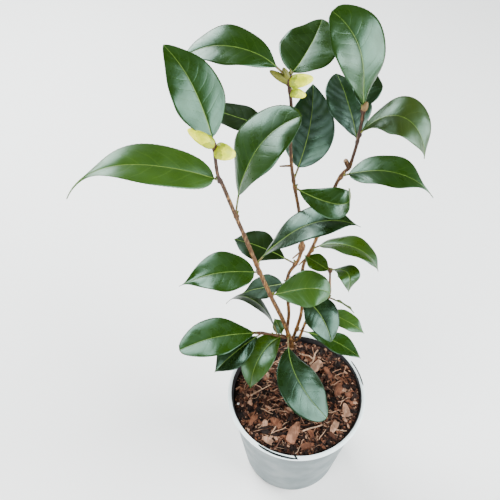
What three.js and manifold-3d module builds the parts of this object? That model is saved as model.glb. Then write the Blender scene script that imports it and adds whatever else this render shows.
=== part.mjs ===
// A young camellia shrub in its plastic pot, as a three.js scene graph.
// Units are millimetres, +Z is up, and the origin is the centre of the pot's flat underside.
// The shrub's front, the side its best leaves face, looks towards -Y.

import * as THREE from "three";
import { mergeVertices } from "three/addons/utils/BufferGeometryUtils.js";
import Module from "manifold-3d";

const wasm = await Module();
wasm.setup();

// Clearance kept between neighbouring pieces.
const GAP = 0.3;

// Pot: a tapered shell with a rolled lip and drain holes in its floor.
const POT = {
  height: 130,
  rimRadius: 65,
  lipWidth: 3.5,
  lipDrop: 9,
  lipRound: 1.6,
  neckRadius: 62.2,
  baseRadius: 49,
  footRound: 3,
  wall: 2,
  floor: 3,
  segments: 48,
};
const DRAIN = { count: 5, radius: 4, circle: 27, sides: 12 };

// Compost: it fills the pot to below the lip, and is heaped round the foot of the main stem.
const COMPOST = { level: 118, dip: 2, moundTop: 126, moundRadius: 9, moundSpread: 20, rings: 4 };

// Limbs: guide points from foot to tip, and the radius at each end.
const LIMB_SIDES = 8;
const LIMB_STEP = 9;
const FLARE = { length: 9, spread: 1.9 };
const STEM_FOOT = new THREE.Vector3(-3, 51, COMPOST.moundTop + GAP);

const MAIN_STEM = {
  name: "main_stem",
  radius: [2.4, 1.35],
  guide: [[-3, 51, 133], [-6, 48, 150], [-13, 43, 187], [-25, 37, 234], [-36, 33, 278], [-46, 28, 323],
    [-54, 25, 357], [-62, 22, 392]],
};

const BOUGHS = [
  {
    name: "centre_bough",
    height: 146,
    radius: [1.7, 1.2],
    guide: [[-8, 53.5, 156], [-8, 53, 187], [-11, 52, 222], [-11, 52, 249], [-3, 53, 271], [-2, 55, 298],
      [-6, 58, 325], [-13, 60, 365], [-16, 62, 398], [-16, 62, 418]],
  },
  {
    name: "right_bough",
    height: 139,
    radius: [1.7, 1.3],
    guide: [[0, 54.5, 149], [4, 56, 182], [3, 59, 220], [2, 61, 249], [8, 61, 274], [14, 62, 305],
      [20, 64, 344], [25, 65, 359], [29, 65, 365], [30, 65, 372]],
  },
  {
    name: "low_right_bough",
    height: 137,
    radius: [1.5, 1.0],
    guide: [[4, 50, 147], [9, 49, 180], [19, 49, 203], [26, 49, 222], [25, 48, 240], [24, 47.5, 251]],
  },
];

// Leaves: one blade on a short stalk, set at a height on its limb.
// heading and rise turn the line from the joint to the leaf's tip, and reach is that line's length.
// lift and drop turn the midrib above that line at its joint and its tip, sway turns it sideways, and bow
// is how far those turns carry. roll turns the blade about its midrib, and twist adds to it along the blade.
// fold lifts the blade's halves to a V, curl turns its edges down, widest is where along the blade it is
// widest, and point draws its tip out.
const LEAF_COLUMNS = 4;
const LEAF_ROWS = 8;
const LEAF_THICKNESS = 0.9;
const STALK_HALF = 0.8;
const TIP_HALF = 0.3;
const BUD_SIDES = 8;
const BUD_RINGS = 6;
const BUD_TAPER = 0.35;
const LEAF = {
  width: 34,
  stalk: 7,
  lift: 15,
  drop: 20,
  sway: 0,
  bow: 0.4,
  roll: 0,
  twist: 0,
  fold: 12,
  curl: 0.12,
  widest: 0.5,
  point: 0.5,
};

const SINGLE_LEAVES = [
  { name: "leaf_left_upper", on: "main_stem", height: 357, heading: 31, rise: 54, reach: 87, width: 46,
    stalk: 11, lift: 28, drop: 28, sway: 26, widest: 0.54, point: 0.3 },
  { name: "leaf_left_middle", on: "main_stem", height: 291, heading: 3, rise: 28, reach: 88, stalk: 8,
    lift: 28, drop: 32, sway: 16, roll: 4, widest: 0.48, point: 1.2 },
  { name: "leaf_left_outer", on: "main_stem", height: 278, heading: -168, rise: 0, reach: 66, width: 42,
    stalk: 4, lift: 14, drop: 20, sway: -6, widest: 0.36, point: 1.4 },
  { name: "leaf_front_middle", on: "main_stem", height: 240, heading: 2, rise: 0, reach: 49, width: 30,
    stalk: 3, lift: 5, drop: 12, roll: -24, widest: 0.48, point: 0 },
  { name: "leaf_front_low", on: "main_stem", height: 156, heading: -65, rise: -18, reach: 85, width: 44,
    stalk: 12, sway: -32, widest: 0.54, point: 0.2 },
  { name: "leaf_centre_back", on: "centre_bough", height: 398, heading: 158, rise: 5, reach: 67, width: 26,
    lift: 5, drop: 5, widest: 0.56 },
  { name: "leaf_centre_upright", on: "centre_bough", height: 357, heading: 74, rise: 48, reach: 71,
    width: 37, stalk: 8, lift: 5, sway: -16, widest: 0.43 },
  { name: "leaf_centre_curled", on: "centre_bough", height: 350, heading: -28, rise: 26, reach: 46,
    width: 24, stalk: 4, lift: -25, drop: -85, sway: -12, bow: 0.6, roll: -20, point: 0.2 },
  { name: "leaf_centre_left", on: "centre_bough", height: 263, heading: 160, rise: 10, reach: 56, width: 32,
    lift: 10, drop: 15, widest: 0.58, point: 0.3 },
  { name: "leaf_inner_left", on: "centre_bough", height: 236, heading: 178, rise: -25, reach: 44,
    width: 26, stalk: 2, lift: 5, drop: 10, widest: 0.42 },
  { name: "leaf_right_hanging", on: "centre_bough", height: 228, heading: -44, rise: -28, reach: 61,
    width: 34, stalk: 16, lift: 20, drop: 25, sway: 26 },
  { name: "leaf_back_middle", on: "centre_bough", height: 286, heading: 80, rise: -44, reach: 58, width: 30 },
  { name: "leaf_right_upper", on: "right_bough", height: 356, heading: -18, rise: 0, reach: 69, width: 33,
    stalk: 6, lift: 32, drop: 46, sway: 10, widest: 0.36, point: 2.5 },
  { name: "leaf_right_middle", on: "right_bough", height: 272, heading: -23, rise: 0, reach: 58, width: 28,
    stalk: 9, lift: 35, drop: 60, sway: 30, roll: 16, widest: 0.46 },
  { name: "leaf_back_low", on: "right_bough", height: 222, heading: 85, rise: -52, reach: 52, width: 28 },
  { name: "leaf_right_edge", on: "low_right_bough", height: 218, heading: -32, rise: -8, reach: 27,
    width: 16, stalk: 4, lift: 25, drop: 30, roll: 60 },
  { name: "leaf_right_small", on: "low_right_bough", height: 202, heading: -28, rise: -13, reach: 47,
    width: 18, lift: 0, drop: 10 },
  { name: "leaf_low_right", on: "right_bough", height: 154, heading: -26, rise: -4, reach: 67, width: 22,
    lift: 5, drop: 18, sway: 8, widest: 0.6 },
];

// Crowns and sprays: a twig with its leaves and buds fused on.
// A crown's twig carries on from the tip of its limb, and a spray's twig starts at a height beside it.
// A bud stands at a height on the twig, pointed along its heading and rise.
const CROWNS = [
  {
    name: "left_crown",
    on: "main_stem",
    radius: [1.3, 1.0],
    guide: [[-65, 20, 405], [-66, 18, 424], [-66, 17, 436]],
    leaves: [
      { height: 398, heading: -165, rise: 6, reach: 99, width: 35, stalk: 7, lift: 24, drop: 66, sway: -10,
        twist: -40, widest: 0.31, point: 6 },
      { height: 434, heading: 130, rise: 46, reach: 66, width: 35, stalk: 4, lift: 0, drop: 15, sway: -14,
        widest: 0.48, point: 0.2 },
    ],
    buds: [
      { height: 433, heading: 175, rise: 38, length: 20, width: 8.5 },
      { height: 430, heading: 0, rise: -24, length: 14, width: 11.5 },
    ],
  },
  {
    name: "centre_crown",
    on: "centre_bough",
    radius: [1.2, 1.1],
    guide: [[-17, 62, 430], [-19, 63, 445], [-19, 64, 450]],
    leaves: [
      { height: 447, heading: 173, rise: 10, reach: 68, width: 35, stalk: 14, lift: 38, drop: 42, sway: -12,
        roll: 8, widest: 0.52 },
      { height: 449, heading: 66, rise: 5, reach: 60, width: 36, stalk: 6, lift: 0, drop: 5, sway: -8,
        widest: 0.38 },
    ],
    buds: [
      { height: 445, heading: 0, rise: 12, length: 16, width: 9.5 },
      { height: 447, heading: 150, rise: 60, length: 9, width: 4.5 },
      { height: 438, heading: 10, rise: -24, length: 12, width: 7 },
      { height: 445, heading: 172, rise: 32, length: 15, width: 5.5 },
    ],
  },
  {
    name: "right_crown",
    on: "right_bough",
    radius: [1.3, 1.0],
    guide: [[31, 65.5, 380], [32, 66, 389], [33, 67, 405], [33, 68, 418]],
    leaves: [
      { height: 390, heading: 106, rise: 25, reach: 54, width: 31, stalk: 5 },
      { height: 397, heading: -27, rise: -3, reach: 48, stalk: 8, lift: 60, drop: 72, sway: 40, bow: 0.68,
        roll: -6 },
      { height: 410, heading: 78, rise: 20, reach: 40, width: 21 },
      { height: 417, heading: 130, rise: 56, reach: 69, width: 43, stalk: 4, lift: 12, drop: 15, sway: -22,
        widest: 0.6, point: 0.1 },
    ],
    buds: [{ height: 417, heading: 40, rise: 70, length: 7, width: 4.5 }],
  },
  {
    name: "low_right_crown",
    on: "low_right_bough",
    radius: [1.0, 0.9],
    guide: [[23.5, 47, 258], [23, 47, 264]],
    leaves: [
      { height: 260, heading: 146, rise: 8, reach: 21, width: 15, stalk: 2, lift: 5, drop: 5 },
      { height: 262, heading: -52, rise: -14, reach: 24, width: 19, stalk: 2, lift: 40, drop: 70, sway: 40,
        bow: 0.8 },
    ],
    buds: [],
  },
  {
    name: "low_left_spray",
    on: "main_stem",
    height: 150,
    radius: [1.3, 1.0],
    guide: [[-18, 46, 157], [-30, 45, 163], [-41, 43, 167]],
    leaves: [
      { height: 165, heading: -166, rise: 0, reach: 77, width: 42, stalk: 5, lift: 8, drop: 16, sway: -6,
        widest: 0.52, point: 0.3 },
      { height: 164, heading: -143, rise: -15, reach: 58, width: 30, stalk: 5, widest: 0.55 },
      { height: 157, heading: -119, rise: -20, reach: 56, width: 24, stalk: 8, lift: 35, drop: 55,
        sway: -30 },
      { height: 157, heading: 157, rise: 24, reach: 58, width: 22, stalk: 8, lift: 55, drop: 90, sway: -15,
        bow: 0.7, roll: -55, point: 1.5 },
      { height: 154, heading: 125, rise: 45, reach: 20, width: 13, stalk: 3 },
    ],
    buds: [],
  },
];

// Geometry helpers

function vector(point) {
  return new THREE.Vector3(...point);
}

function direction(heading, rise) {
  const flat = THREE.MathUtils.degToRad(heading);
  const up = THREE.MathUtils.degToRad(rise);
  return new THREE.Vector3(Math.cos(flat) * Math.cos(up), Math.sin(flat) * Math.cos(up), Math.sin(up));
}

// Moves every vertex of a closed geometry, and leaves only its positions, merged.
function reshape(geometry, move) {
  const bare = new THREE.BufferGeometry();
  bare.setAttribute("position", geometry.getAttribute("position").clone());
  bare.setIndex(geometry.index.clone());
  const merged = mergeVertices(bare, 1e-4);
  const place = merged.getAttribute("position");
  const point = new THREE.Vector3();
  for (let i = 0; i < place.count; i++) {
    point.fromBufferAttribute(place, i);
    place.setXYZ(i, ...move(point.clone()).toArray());
  }
  return merged;
}

function solidOf(geometry) {
  return new wasm.Manifold(
    new wasm.Mesh({
      numProp: 3,
      vertProperties: new Float32Array(geometry.getAttribute("position").array),
      triVerts: new Uint32Array(geometry.index.array),
    }),
  );
}

function geometryOf(solid) {
  const mesh = solid.getMesh();
  const geometry = new THREE.BufferGeometry();
  geometry.setAttribute("position", new THREE.BufferAttribute(new Float32Array(mesh.vertProperties), 3));
  geometry.setIndex(new THREE.BufferAttribute(new Uint32Array(mesh.triVerts), 1));
  return geometry;
}

function fuse(geometries) {
  return geometryOf(geometries.map(solidOf).reduce((whole, piece) => whole.add(piece)));
}

function finish(color, roughness) {
  return new THREE.MeshStandardMaterial({ color, roughness, metalness: 0, side: THREE.DoubleSide });
}

function named(name, geometry, material) {
  const mesh = new THREE.Mesh(geometry, material);
  mesh.name = name;
  return mesh;
}

// Pot and compost

function innerRadius(z) {
  const slope = (POT.neckRadius - POT.baseRadius) / (POT.height - POT.lipDrop);
  const outer = POT.baseRadius + slope * Math.min(z, POT.height - POT.lipDrop);
  return Math.min(outer - POT.wall, POT.rimRadius - POT.lipWidth);
}

function lathe(profile, segments) {
  const geometry = new THREE.LatheGeometry(profile, segments);
  geometry.rotateX(Math.PI / 2);
  return reshape(geometry, (point) => point);
}

function potGeometry() {
  const rim = POT.rimRadius;
  const top = POT.height;
  const round = POT.lipRound;
  const inner = rim - POT.lipWidth;
  const profile = [
    [0, 0],
    [POT.baseRadius - POT.footRound, 0],
    [POT.baseRadius, POT.footRound],
    [POT.neckRadius, top - POT.lipDrop],
    [rim - round / 2, top - POT.lipDrop],
    [rim, top - POT.lipDrop + round],
    [rim, top - round],
    [rim - round / 2, top - round / 4],
    [(rim + inner) / 2, top],
    [inner, top - round / 2],
    [innerRadius(top - POT.lipDrop), top - POT.lipDrop],
    [innerRadius(POT.floor), POT.floor],
    [0, POT.floor],
  ].map(([radius, height]) => new THREE.Vector2(radius, height));
  let shell = solidOf(lathe(profile, POT.segments));
  for (let i = 0; i < DRAIN.count; i++) {
    const angle = ((i + 0.5) / DRAIN.count) * 2 * Math.PI;
    const hole = new THREE.CylinderGeometry(DRAIN.radius, DRAIN.radius, POT.floor * 3, DRAIN.sides);
    hole.rotateX(Math.PI / 2);
    hole.translate(DRAIN.circle * Math.cos(angle), DRAIN.circle * Math.sin(angle), POT.floor / 2);
    shell = shell.subtract(solidOf(reshape(hole, (point) => point)));
  }
  return geometryOf(shell);
}

function compostGeometry() {
  const bottom = POT.floor + GAP;
  const edge = innerRadius(COMPOST.level) - GAP;
  const profile = [
    [0, bottom],
    [innerRadius(bottom) - GAP, bottom],
    [edge, COMPOST.level],
  ];
  for (let i = COMPOST.rings - 1; i >= 0; i--) {
    const share = i / COMPOST.rings;
    profile.push([edge * share, COMPOST.level - COMPOST.dip * (1 - share)]);
  }
  const bed = solidOf(lathe(profile.map((pair) => new THREE.Vector2(...pair)), POT.segments));
  const heap = COMPOST.moundTop - COMPOST.level + COMPOST.dip;
  const cone = new THREE.CylinderGeometry(COMPOST.moundRadius, COMPOST.moundSpread, heap, 16);
  cone.rotateX(Math.PI / 2);
  cone.translate(STEM_FOOT.x, STEM_FOOT.y, COMPOST.moundTop - heap / 2);
  const room = [
    [0, bottom],
    [innerRadius(bottom) - GAP, bottom],
    [innerRadius(COMPOST.moundTop) - GAP, COMPOST.moundTop + GAP],
    [0, COMPOST.moundTop + GAP],
  ].map((pair) => new THREE.Vector2(...pair));
  const mound = solidOf(reshape(cone, (point) => point)).intersect(solidOf(lathe(room, POT.segments)));
  return geometryOf(bed.add(mound));
}

// Limbs

function limbCurve(points) {
  return new THREE.CatmullRomCurve3(points, false, "catmullrom", 0.5);
}

function limbGeometry(limb) {
  const { curve, radius, flare } = limb;
  const foot = curve.getPoint(0);
  const ends = curve.getPoint(1).sub(foot);
  const side = new THREE.Vector3(0, 0, 1).cross(ends);
  if (side.length() < 1e-3) side.set(1, 0, 0);
  const steps = Math.max(2, Math.round(curve.getLength() / LIMB_STEP));
  const tube = new THREE.CylinderGeometry(1, 1, 1, LIMB_SIDES, steps);
  return reshape(tube, (point) => {
    const t = point.y + 0.5;
    const ahead = curve.getTangent(t);
    const across = side.clone().addScaledVector(ahead, -side.dot(ahead)).normalize();
    const over = across.clone().cross(ahead);
    const place = curve.getPoint(t);
    const swell = flare ? flare.spread * Math.max(0, 1 - (place.z - foot.z) / flare.length) ** 2 : 0;
    const thick = THREE.MathUtils.lerp(radius[0], radius[1], t) + swell;
    return place.addScaledVector(across, thick * point.x).addScaledVector(over, thick * point.z);
  });
}

// The parameter of a rising limb's curve at a height above the pot's underside.
function parameterAt(curve, height) {
  let low = 0;
  let high = 1;
  while (high - low > 1e-6) {
    const middle = (low + high) / 2;
    if (curve.getPoint(middle).z < height) low = middle;
    else high = middle;
  }
  return low;
}

// Where a piece of a given half thickness starts, clear of the limb it grows from.
function seat(limb, height, ahead, half) {
  const t = parameterAt(limb.curve, height);
  const along = ahead.dot(limb.curve.getTangent(t));
  const thick = THREE.MathUtils.lerp(limb.radius[0], limb.radius[1], t);
  const start = (thick + GAP + half * Math.abs(along)) / Math.sqrt(1 - along * along);
  return limb.curve.getPoint(t).addScaledVector(ahead, start);
}

// Leaves

// The midrib's start and end directions are turned from the line to the tip by lift, drop and sway.
function midrib(start, tip, spec) {
  const span = start.distanceTo(tip) * spec.bow;
  const chord = tip.clone().sub(start);
  const heading = THREE.MathUtils.radToDeg(Math.atan2(chord.y, chord.x));
  const rise = THREE.MathUtils.radToDeg(Math.asin(chord.z / chord.length()));
  const away = direction(heading + spec.sway, rise + spec.lift);
  const inward = direction(heading - spec.sway, rise - spec.drop);
  return new THREE.CubicBezierCurve3(
    start,
    start.clone().addScaledVector(away, span),
    tip.clone().addScaledVector(inward, -span),
    tip,
  );
}

// The blade's half width at a share of its length, as a share of its greatest half width.
function bladeShape(share, { widest, point }) {
  const skew = Math.log(0.5) / Math.log(widest);
  const fullness = 0.8 + point * share ** 3;
  return Math.sin(Math.PI * share ** skew) ** fullness;
}

function leafGeometry(start, tip, spec) {
  const curve = midrib(start, tip, spec);
  const side = new THREE.Vector3(tip.y - start.y, start.x - tip.x, 0).normalize();
  const stalk = spec.stalk / start.distanceTo(tip);
  const rows = LEAF_ROWS + 1;
  const box = new THREE.BoxGeometry(2, 1, 1, LEAF_COLUMNS, rows, 1);
  const fold = THREE.MathUtils.degToRad(spec.fold);
  return reshape(box, (point) => {
    const row = (point.y + 0.5) * rows;
    const share = Math.max(0, row - 1) / LEAF_ROWS;
    const t = row < 1 ? stalk * row : stalk + (1 - stalk) * share;
    const blade = share > 0 && share < 1 ? (spec.width / 2) * bladeShape(share, spec) : 0;
    const half = Math.max(blade, row <= 1 ? STALK_HALF : TIP_HALF);
    const thick = row <= 1 ? 2 * STALK_HALF : LEAF_THICKNESS;
    const ahead = curve.getTangent(t);
    const across = side.clone().addScaledVector(ahead, -side.dot(ahead)).normalize();
    const turn = THREE.MathUtils.degToRad(spec.roll + spec.twist * (share - 0.5));
    across.applyAxisAngle(ahead, turn * -1);
    const over = across.clone().cross(ahead);
    const out = Math.abs(point.x);
    const raised = half * (Math.sin(fold) * out - spec.curl * out * out) * Math.min(1, row / 2);
    return curve
      .getPoint(t)
      .addScaledVector(across, half * Math.cos(fold) * point.x)
      .addScaledVector(over, raised + thick * point.z);
  });
}

function singleLeaf(limb, spec) {
  const joint = limb.curve.getPoint(parameterAt(limb.curve, spec.height));
  const tip = joint.clone().addScaledVector(direction(spec.heading, spec.rise), spec.reach);
  const away = direction(spec.heading + spec.sway, spec.rise + spec.lift);
  return leafGeometry(seat(limb, spec.height, away, STALK_HALF * Math.SQRT2), tip, spec);
}

function fusedLeaf(limb, spec) {
  const joint = limb.curve.getPoint(parameterAt(limb.curve, spec.height));
  const tip = joint.clone().addScaledVector(direction(spec.heading, spec.rise), spec.reach);
  return leafGeometry(joint, tip, spec);
}

// A pointed bud whose root is sunk in its twig.
function budGeometry(limb, spec) {
  const root = limb.curve.getPoint(parameterAt(limb.curve, spec.height));
  const ball = new THREE.SphereGeometry(1, BUD_SIDES, BUD_RINGS);
  const turn = new THREE.Quaternion().setFromUnitVectors(
    new THREE.Vector3(0, 1, 0),
    direction(spec.heading, spec.rise),
  );
  return reshape(ball, (point) => {
    const share = (point.y + 1) / 2;
    const thick = (spec.width / 2) * (1 - BUD_TAPER * share);
    return new THREE.Vector3(point.x * thick, share * spec.length, point.z * thick)
      .applyQuaternion(turn)
      .add(root);
  });
}

// Assembly

const potFinish = finish("#b4c2ca", 0.5);
const compostFinish = finish("#5b3a2c", 0.95);
const barkFinish = finish("#6e4a32", 0.85);
const leafFinish = finish("#2f5a1e", 0.35);

const limbs = {};

function growLimb(spec, points) {
  limbs[spec.name] = { curve: limbCurve(points), radius: spec.radius, flare: spec.flare };
  return named(spec.name, limbGeometry(limbs[spec.name]), barkFinish);
}

function twigStart(crown, next) {
  const carrier = limbs[crown.on];
  if (!crown.height) {
    const end = carrier.curve.getPoint(1);
    const tangent = carrier.curve.getTangent(1);
    const bend = next.clone().sub(end).normalize().cross(tangent).length();
    return end.addScaledVector(tangent, GAP + carrier.radius[1] * bend);
  }
  const joint = carrier.curve.getPoint(parameterAt(carrier.curve, crown.height));
  return seat(carrier, crown.height, next.clone().sub(joint).normalize(), crown.radius[0]);
}

const pot = new THREE.Group();
pot.add(named("pot", potGeometry(), potFinish));
pot.add(named("compost", compostGeometry(), compostFinish));

const shrub = new THREE.Group();
shrub.add(growLimb({ ...MAIN_STEM, flare: FLARE }, [STEM_FOOT, ...MAIN_STEM.guide.map(vector)]));
for (const bough of BOUGHS) {
  const points = bough.guide.map(vector);
  const stem = limbs[MAIN_STEM.name];
  const joint = stem.curve.getPoint(parameterAt(stem.curve, bough.height));
  const ahead = points[0].clone().sub(joint).normalize();
  shrub.add(growLimb(bough, [seat(stem, bough.height, ahead, bough.radius[0]), ...points]));
}
for (const spec of SINGLE_LEAVES) {
  shrub.add(named(spec.name, singleLeaf(limbs[spec.on], { ...LEAF, ...spec }), leafFinish));
}
for (const crown of CROWNS) {
  const points = crown.guide.map(vector);
  const twig = { curve: limbCurve([twigStart(crown, points[0]), ...points]), radius: crown.radius };
  const leaves = crown.leaves.map((spec) => fusedLeaf(twig, { ...LEAF, ...spec }));
  const buds = crown.buds.map((spec) => budGeometry(twig, spec));
  shrub.add(named(crown.name, fuse([limbGeometry(twig), ...leaves, ...buds]), leafFinish));
}

const group = new THREE.Group();
group.add(pot, shrub);

export default group;
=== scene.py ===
"""A young camellia shrub in its plastic pot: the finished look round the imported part.

Sizes are millimetres and angles are degrees, as in the part's source, until a finished mesh is
brought to metres. Limbs, leaves and buds follow the source's own rule, written again and finer.
"""

import logging
import math
import random
from dataclasses import dataclass
from enum import Enum
from functools import cached_property
from typing import Callable, Sequence

import bmesh
import bpy
import numpy as np
from bmesh.types import BMesh, BMFace, BMVert
from mathutils import Matrix, Quaternion, Vector, noise


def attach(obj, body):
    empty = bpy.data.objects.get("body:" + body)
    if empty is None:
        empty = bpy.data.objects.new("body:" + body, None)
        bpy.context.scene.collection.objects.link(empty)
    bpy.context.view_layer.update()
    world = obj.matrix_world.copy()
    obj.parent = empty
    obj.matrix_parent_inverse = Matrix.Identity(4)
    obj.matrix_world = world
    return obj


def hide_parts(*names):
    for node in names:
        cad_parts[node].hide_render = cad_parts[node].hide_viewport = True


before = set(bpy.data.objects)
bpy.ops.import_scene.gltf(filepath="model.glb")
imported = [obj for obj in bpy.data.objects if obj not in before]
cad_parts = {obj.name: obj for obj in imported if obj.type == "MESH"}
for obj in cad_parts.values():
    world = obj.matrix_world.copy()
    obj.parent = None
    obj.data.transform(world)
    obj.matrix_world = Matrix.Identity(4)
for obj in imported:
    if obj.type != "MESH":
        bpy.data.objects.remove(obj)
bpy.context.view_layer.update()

LOG = logging.getLogger("potted_shrub")
UP = Vector((0.0, 0.0, 1.0))
Pair = tuple[float, float]
Triple = tuple[float, float, float]
Colour = Triple
Place = Callable[[float, float], Vector]
Shape = tuple[np.ndarray, list[list[int]]]

# Metres in a millimetre, the gap between neighbouring solids, and the distance at which points merge
MM = 0.001
CLEAR = 0.3
MERGE = 1e-4

# Steps of a curve's parameter: for its direction of travel, and the last one of a search for a height
TANGENT_STEP = 0.0001
HEIGHT_STEP = 1e-6


# Measures and curves


def direction(heading: float, rise: float) -> Vector:
    """Gives a unit direction.

    Args:
        heading: turn from +X towards +Y, in degrees.
        rise: angle above the horizon, in degrees.

    Returns:
        The unit vector.
    """
    flat = math.radians(heading)
    up = math.radians(rise)
    return Vector((math.cos(flat) * math.cos(up), math.sin(flat) * math.cos(up), math.sin(up)))


def mix(first: float, second: float, share: float) -> float:
    """Gives the value at a share of the way from first to second."""
    return first + (second - first) * share


class Line:
    """A curve with a point for every parameter from 0 to 1."""

    def at(self, t: float) -> Vector:
        """Gives the point at a parameter."""
        raise NotImplementedError

    def tangent(self, t: float) -> Vector:
        """Gives the unit direction of travel at a parameter."""
        return (self.at(min(1.0, t + TANGENT_STEP)) - self.at(max(0.0, t - TANGENT_STEP))).normalized()


@dataclass(frozen=True)
class LimbCurve(Line):
    """A smooth curve through a limb's guide points, from its foot to its tip."""

    points: tuple[Vector, ...]

    def at(self, t: float) -> Vector:
        """Gives the point at a parameter, between the guide points on either side of it."""
        last = len(self.points) - 1
        index = min(int(last * t), last - 1)
        share = last * t - index
        here, there = self.points[index], self.points[index + 1]
        before = self.points[index - 1] if index else here * 2 - there
        after = self.points[index + 2] if index + 2 <= last else there * 2 - here
        leave = (there - before) * 0.5
        arrive = (after - here) * 0.5
        bend = here * -3 + there * 3 - leave * 2 - arrive
        turn = here * 2 - there * 2 + leave + arrive
        return here + leave * share + bend * share**2 + turn * share**3

    def parameter(self, height: float) -> float:
        """Gives the parameter at which a rising curve reaches a height."""
        low, high = 0.0, 1.0
        while high - low > HEIGHT_STEP:
            middle = (low + high) / 2
            if self.at(middle).z < height:
                low = middle
            else:
                high = middle
        return low

    def length(self, steps: int = 100) -> float:
        """Gives the curve's length, measured in straight steps."""
        marks = [self.at(i / steps) for i in range(steps + 1)]
        return sum((b - a).length for a, b in zip(marks, marks[1:]))


@dataclass(frozen=True)
class Limb:
    """A round limb.

    Attributes:
        curve: the line down its middle.
        radius: radius at the foot and at the tip.
        root: the point inside its carrier from which the finished limb grows.
        flare: how much wider the foot is, where it stands in the compost.
    """

    curve: LimbCurve
    radius: Pair
    root: Vector
    flare: float = 0.0

    def thick(self, t: float) -> float:
        """Gives the plain radius at a parameter."""
        return mix(*self.radius, t)

    def joint(self, height: float) -> Vector:
        """Gives the point on the limb's middle line at a height."""
        return self.curve.at(self.curve.parameter(height))

    def seat(self, height: float, ahead: Vector, half: float) -> Vector:
        """Gives the place where a piece starts, clear of the limb.

        Args:
            height: where on the limb the piece stands.
            ahead: the direction in which the piece leaves.
            half: half the piece's thickness.

        Returns:
            The piece's first point.
        """
        t = self.curve.parameter(height)
        along = ahead.dot(self.curve.tangent(t))
        start = (self.thick(t) + CLEAR + half * abs(along)) / math.sqrt(1 - along * along)
        return self.curve.at(t) + ahead * start


@dataclass(frozen=True)
class Midrib(Line):
    """A leaf's middle line: a cubic curve from its start to its tip."""

    start: Vector
    leave: Vector
    arrive: Vector
    tip: Vector

    def at(self, t: float) -> Vector:
        """Gives the point at a parameter."""
        back = 1 - t
        first = self.start * back**3 + self.leave * (3 * back**2 * t)
        return first + self.arrive * (3 * back * t**2) + self.tip * t**3


# Finishes


@dataclass(frozen=True)
class Field:
    """A number or colour that varies over a surface: one output of a material's node."""

    wiring: "Wiring"
    socket: bpy.types.NodeSocket

    def __add__(self, other: "Field") -> "Field":
        """Gives the sum."""
        return self.wiring.math("ADD", self, other)

    def __sub__(self, other: "Field | float") -> "Field":
        """Gives the difference."""
        return self.wiring.math("SUBTRACT", self, other)

    def __mul__(self, other: "Field | float") -> "Field":
        """Gives the product."""
        return self.wiring.math("MULTIPLY", self, other)

    def __gt__(self, other: float) -> "Field":
        """Gives 1 where the field is greater than a number, and 0 elsewhere."""
        return self.wiring.math("GREATER_THAN", self, other)

    def __abs__(self) -> "Field":
        """Gives the field without its sign."""
        return self.wiring.math("ABSOLUTE", self)

    def part(self, axis: int) -> "Field":
        """Gives one number of a place: 0 for X, 1 for Y, 2 for Z."""
        return self.wiring.add("SeparateXYZ", axis, {0: self})

    def ease(self, low: float, high: float, start: float = 0.0, end: float = 1.0) -> "Field":
        """Maps low..high smoothly to start..end."""
        numbers = dict(enumerate((self, low, high, start, end)))
        return self.wiring.add("MapRange", 0, numbers, interpolation_type="SMOOTHSTEP")

    def blend(self, first: "Field | Colour", second: "Field | Colour") -> "Field":
        """Mixes two colours, with this field as the share of the second."""
        return self.wiring.add("Mix", 2, {0: self, 6: first, 7: second}, data_type="RGBA")


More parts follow.
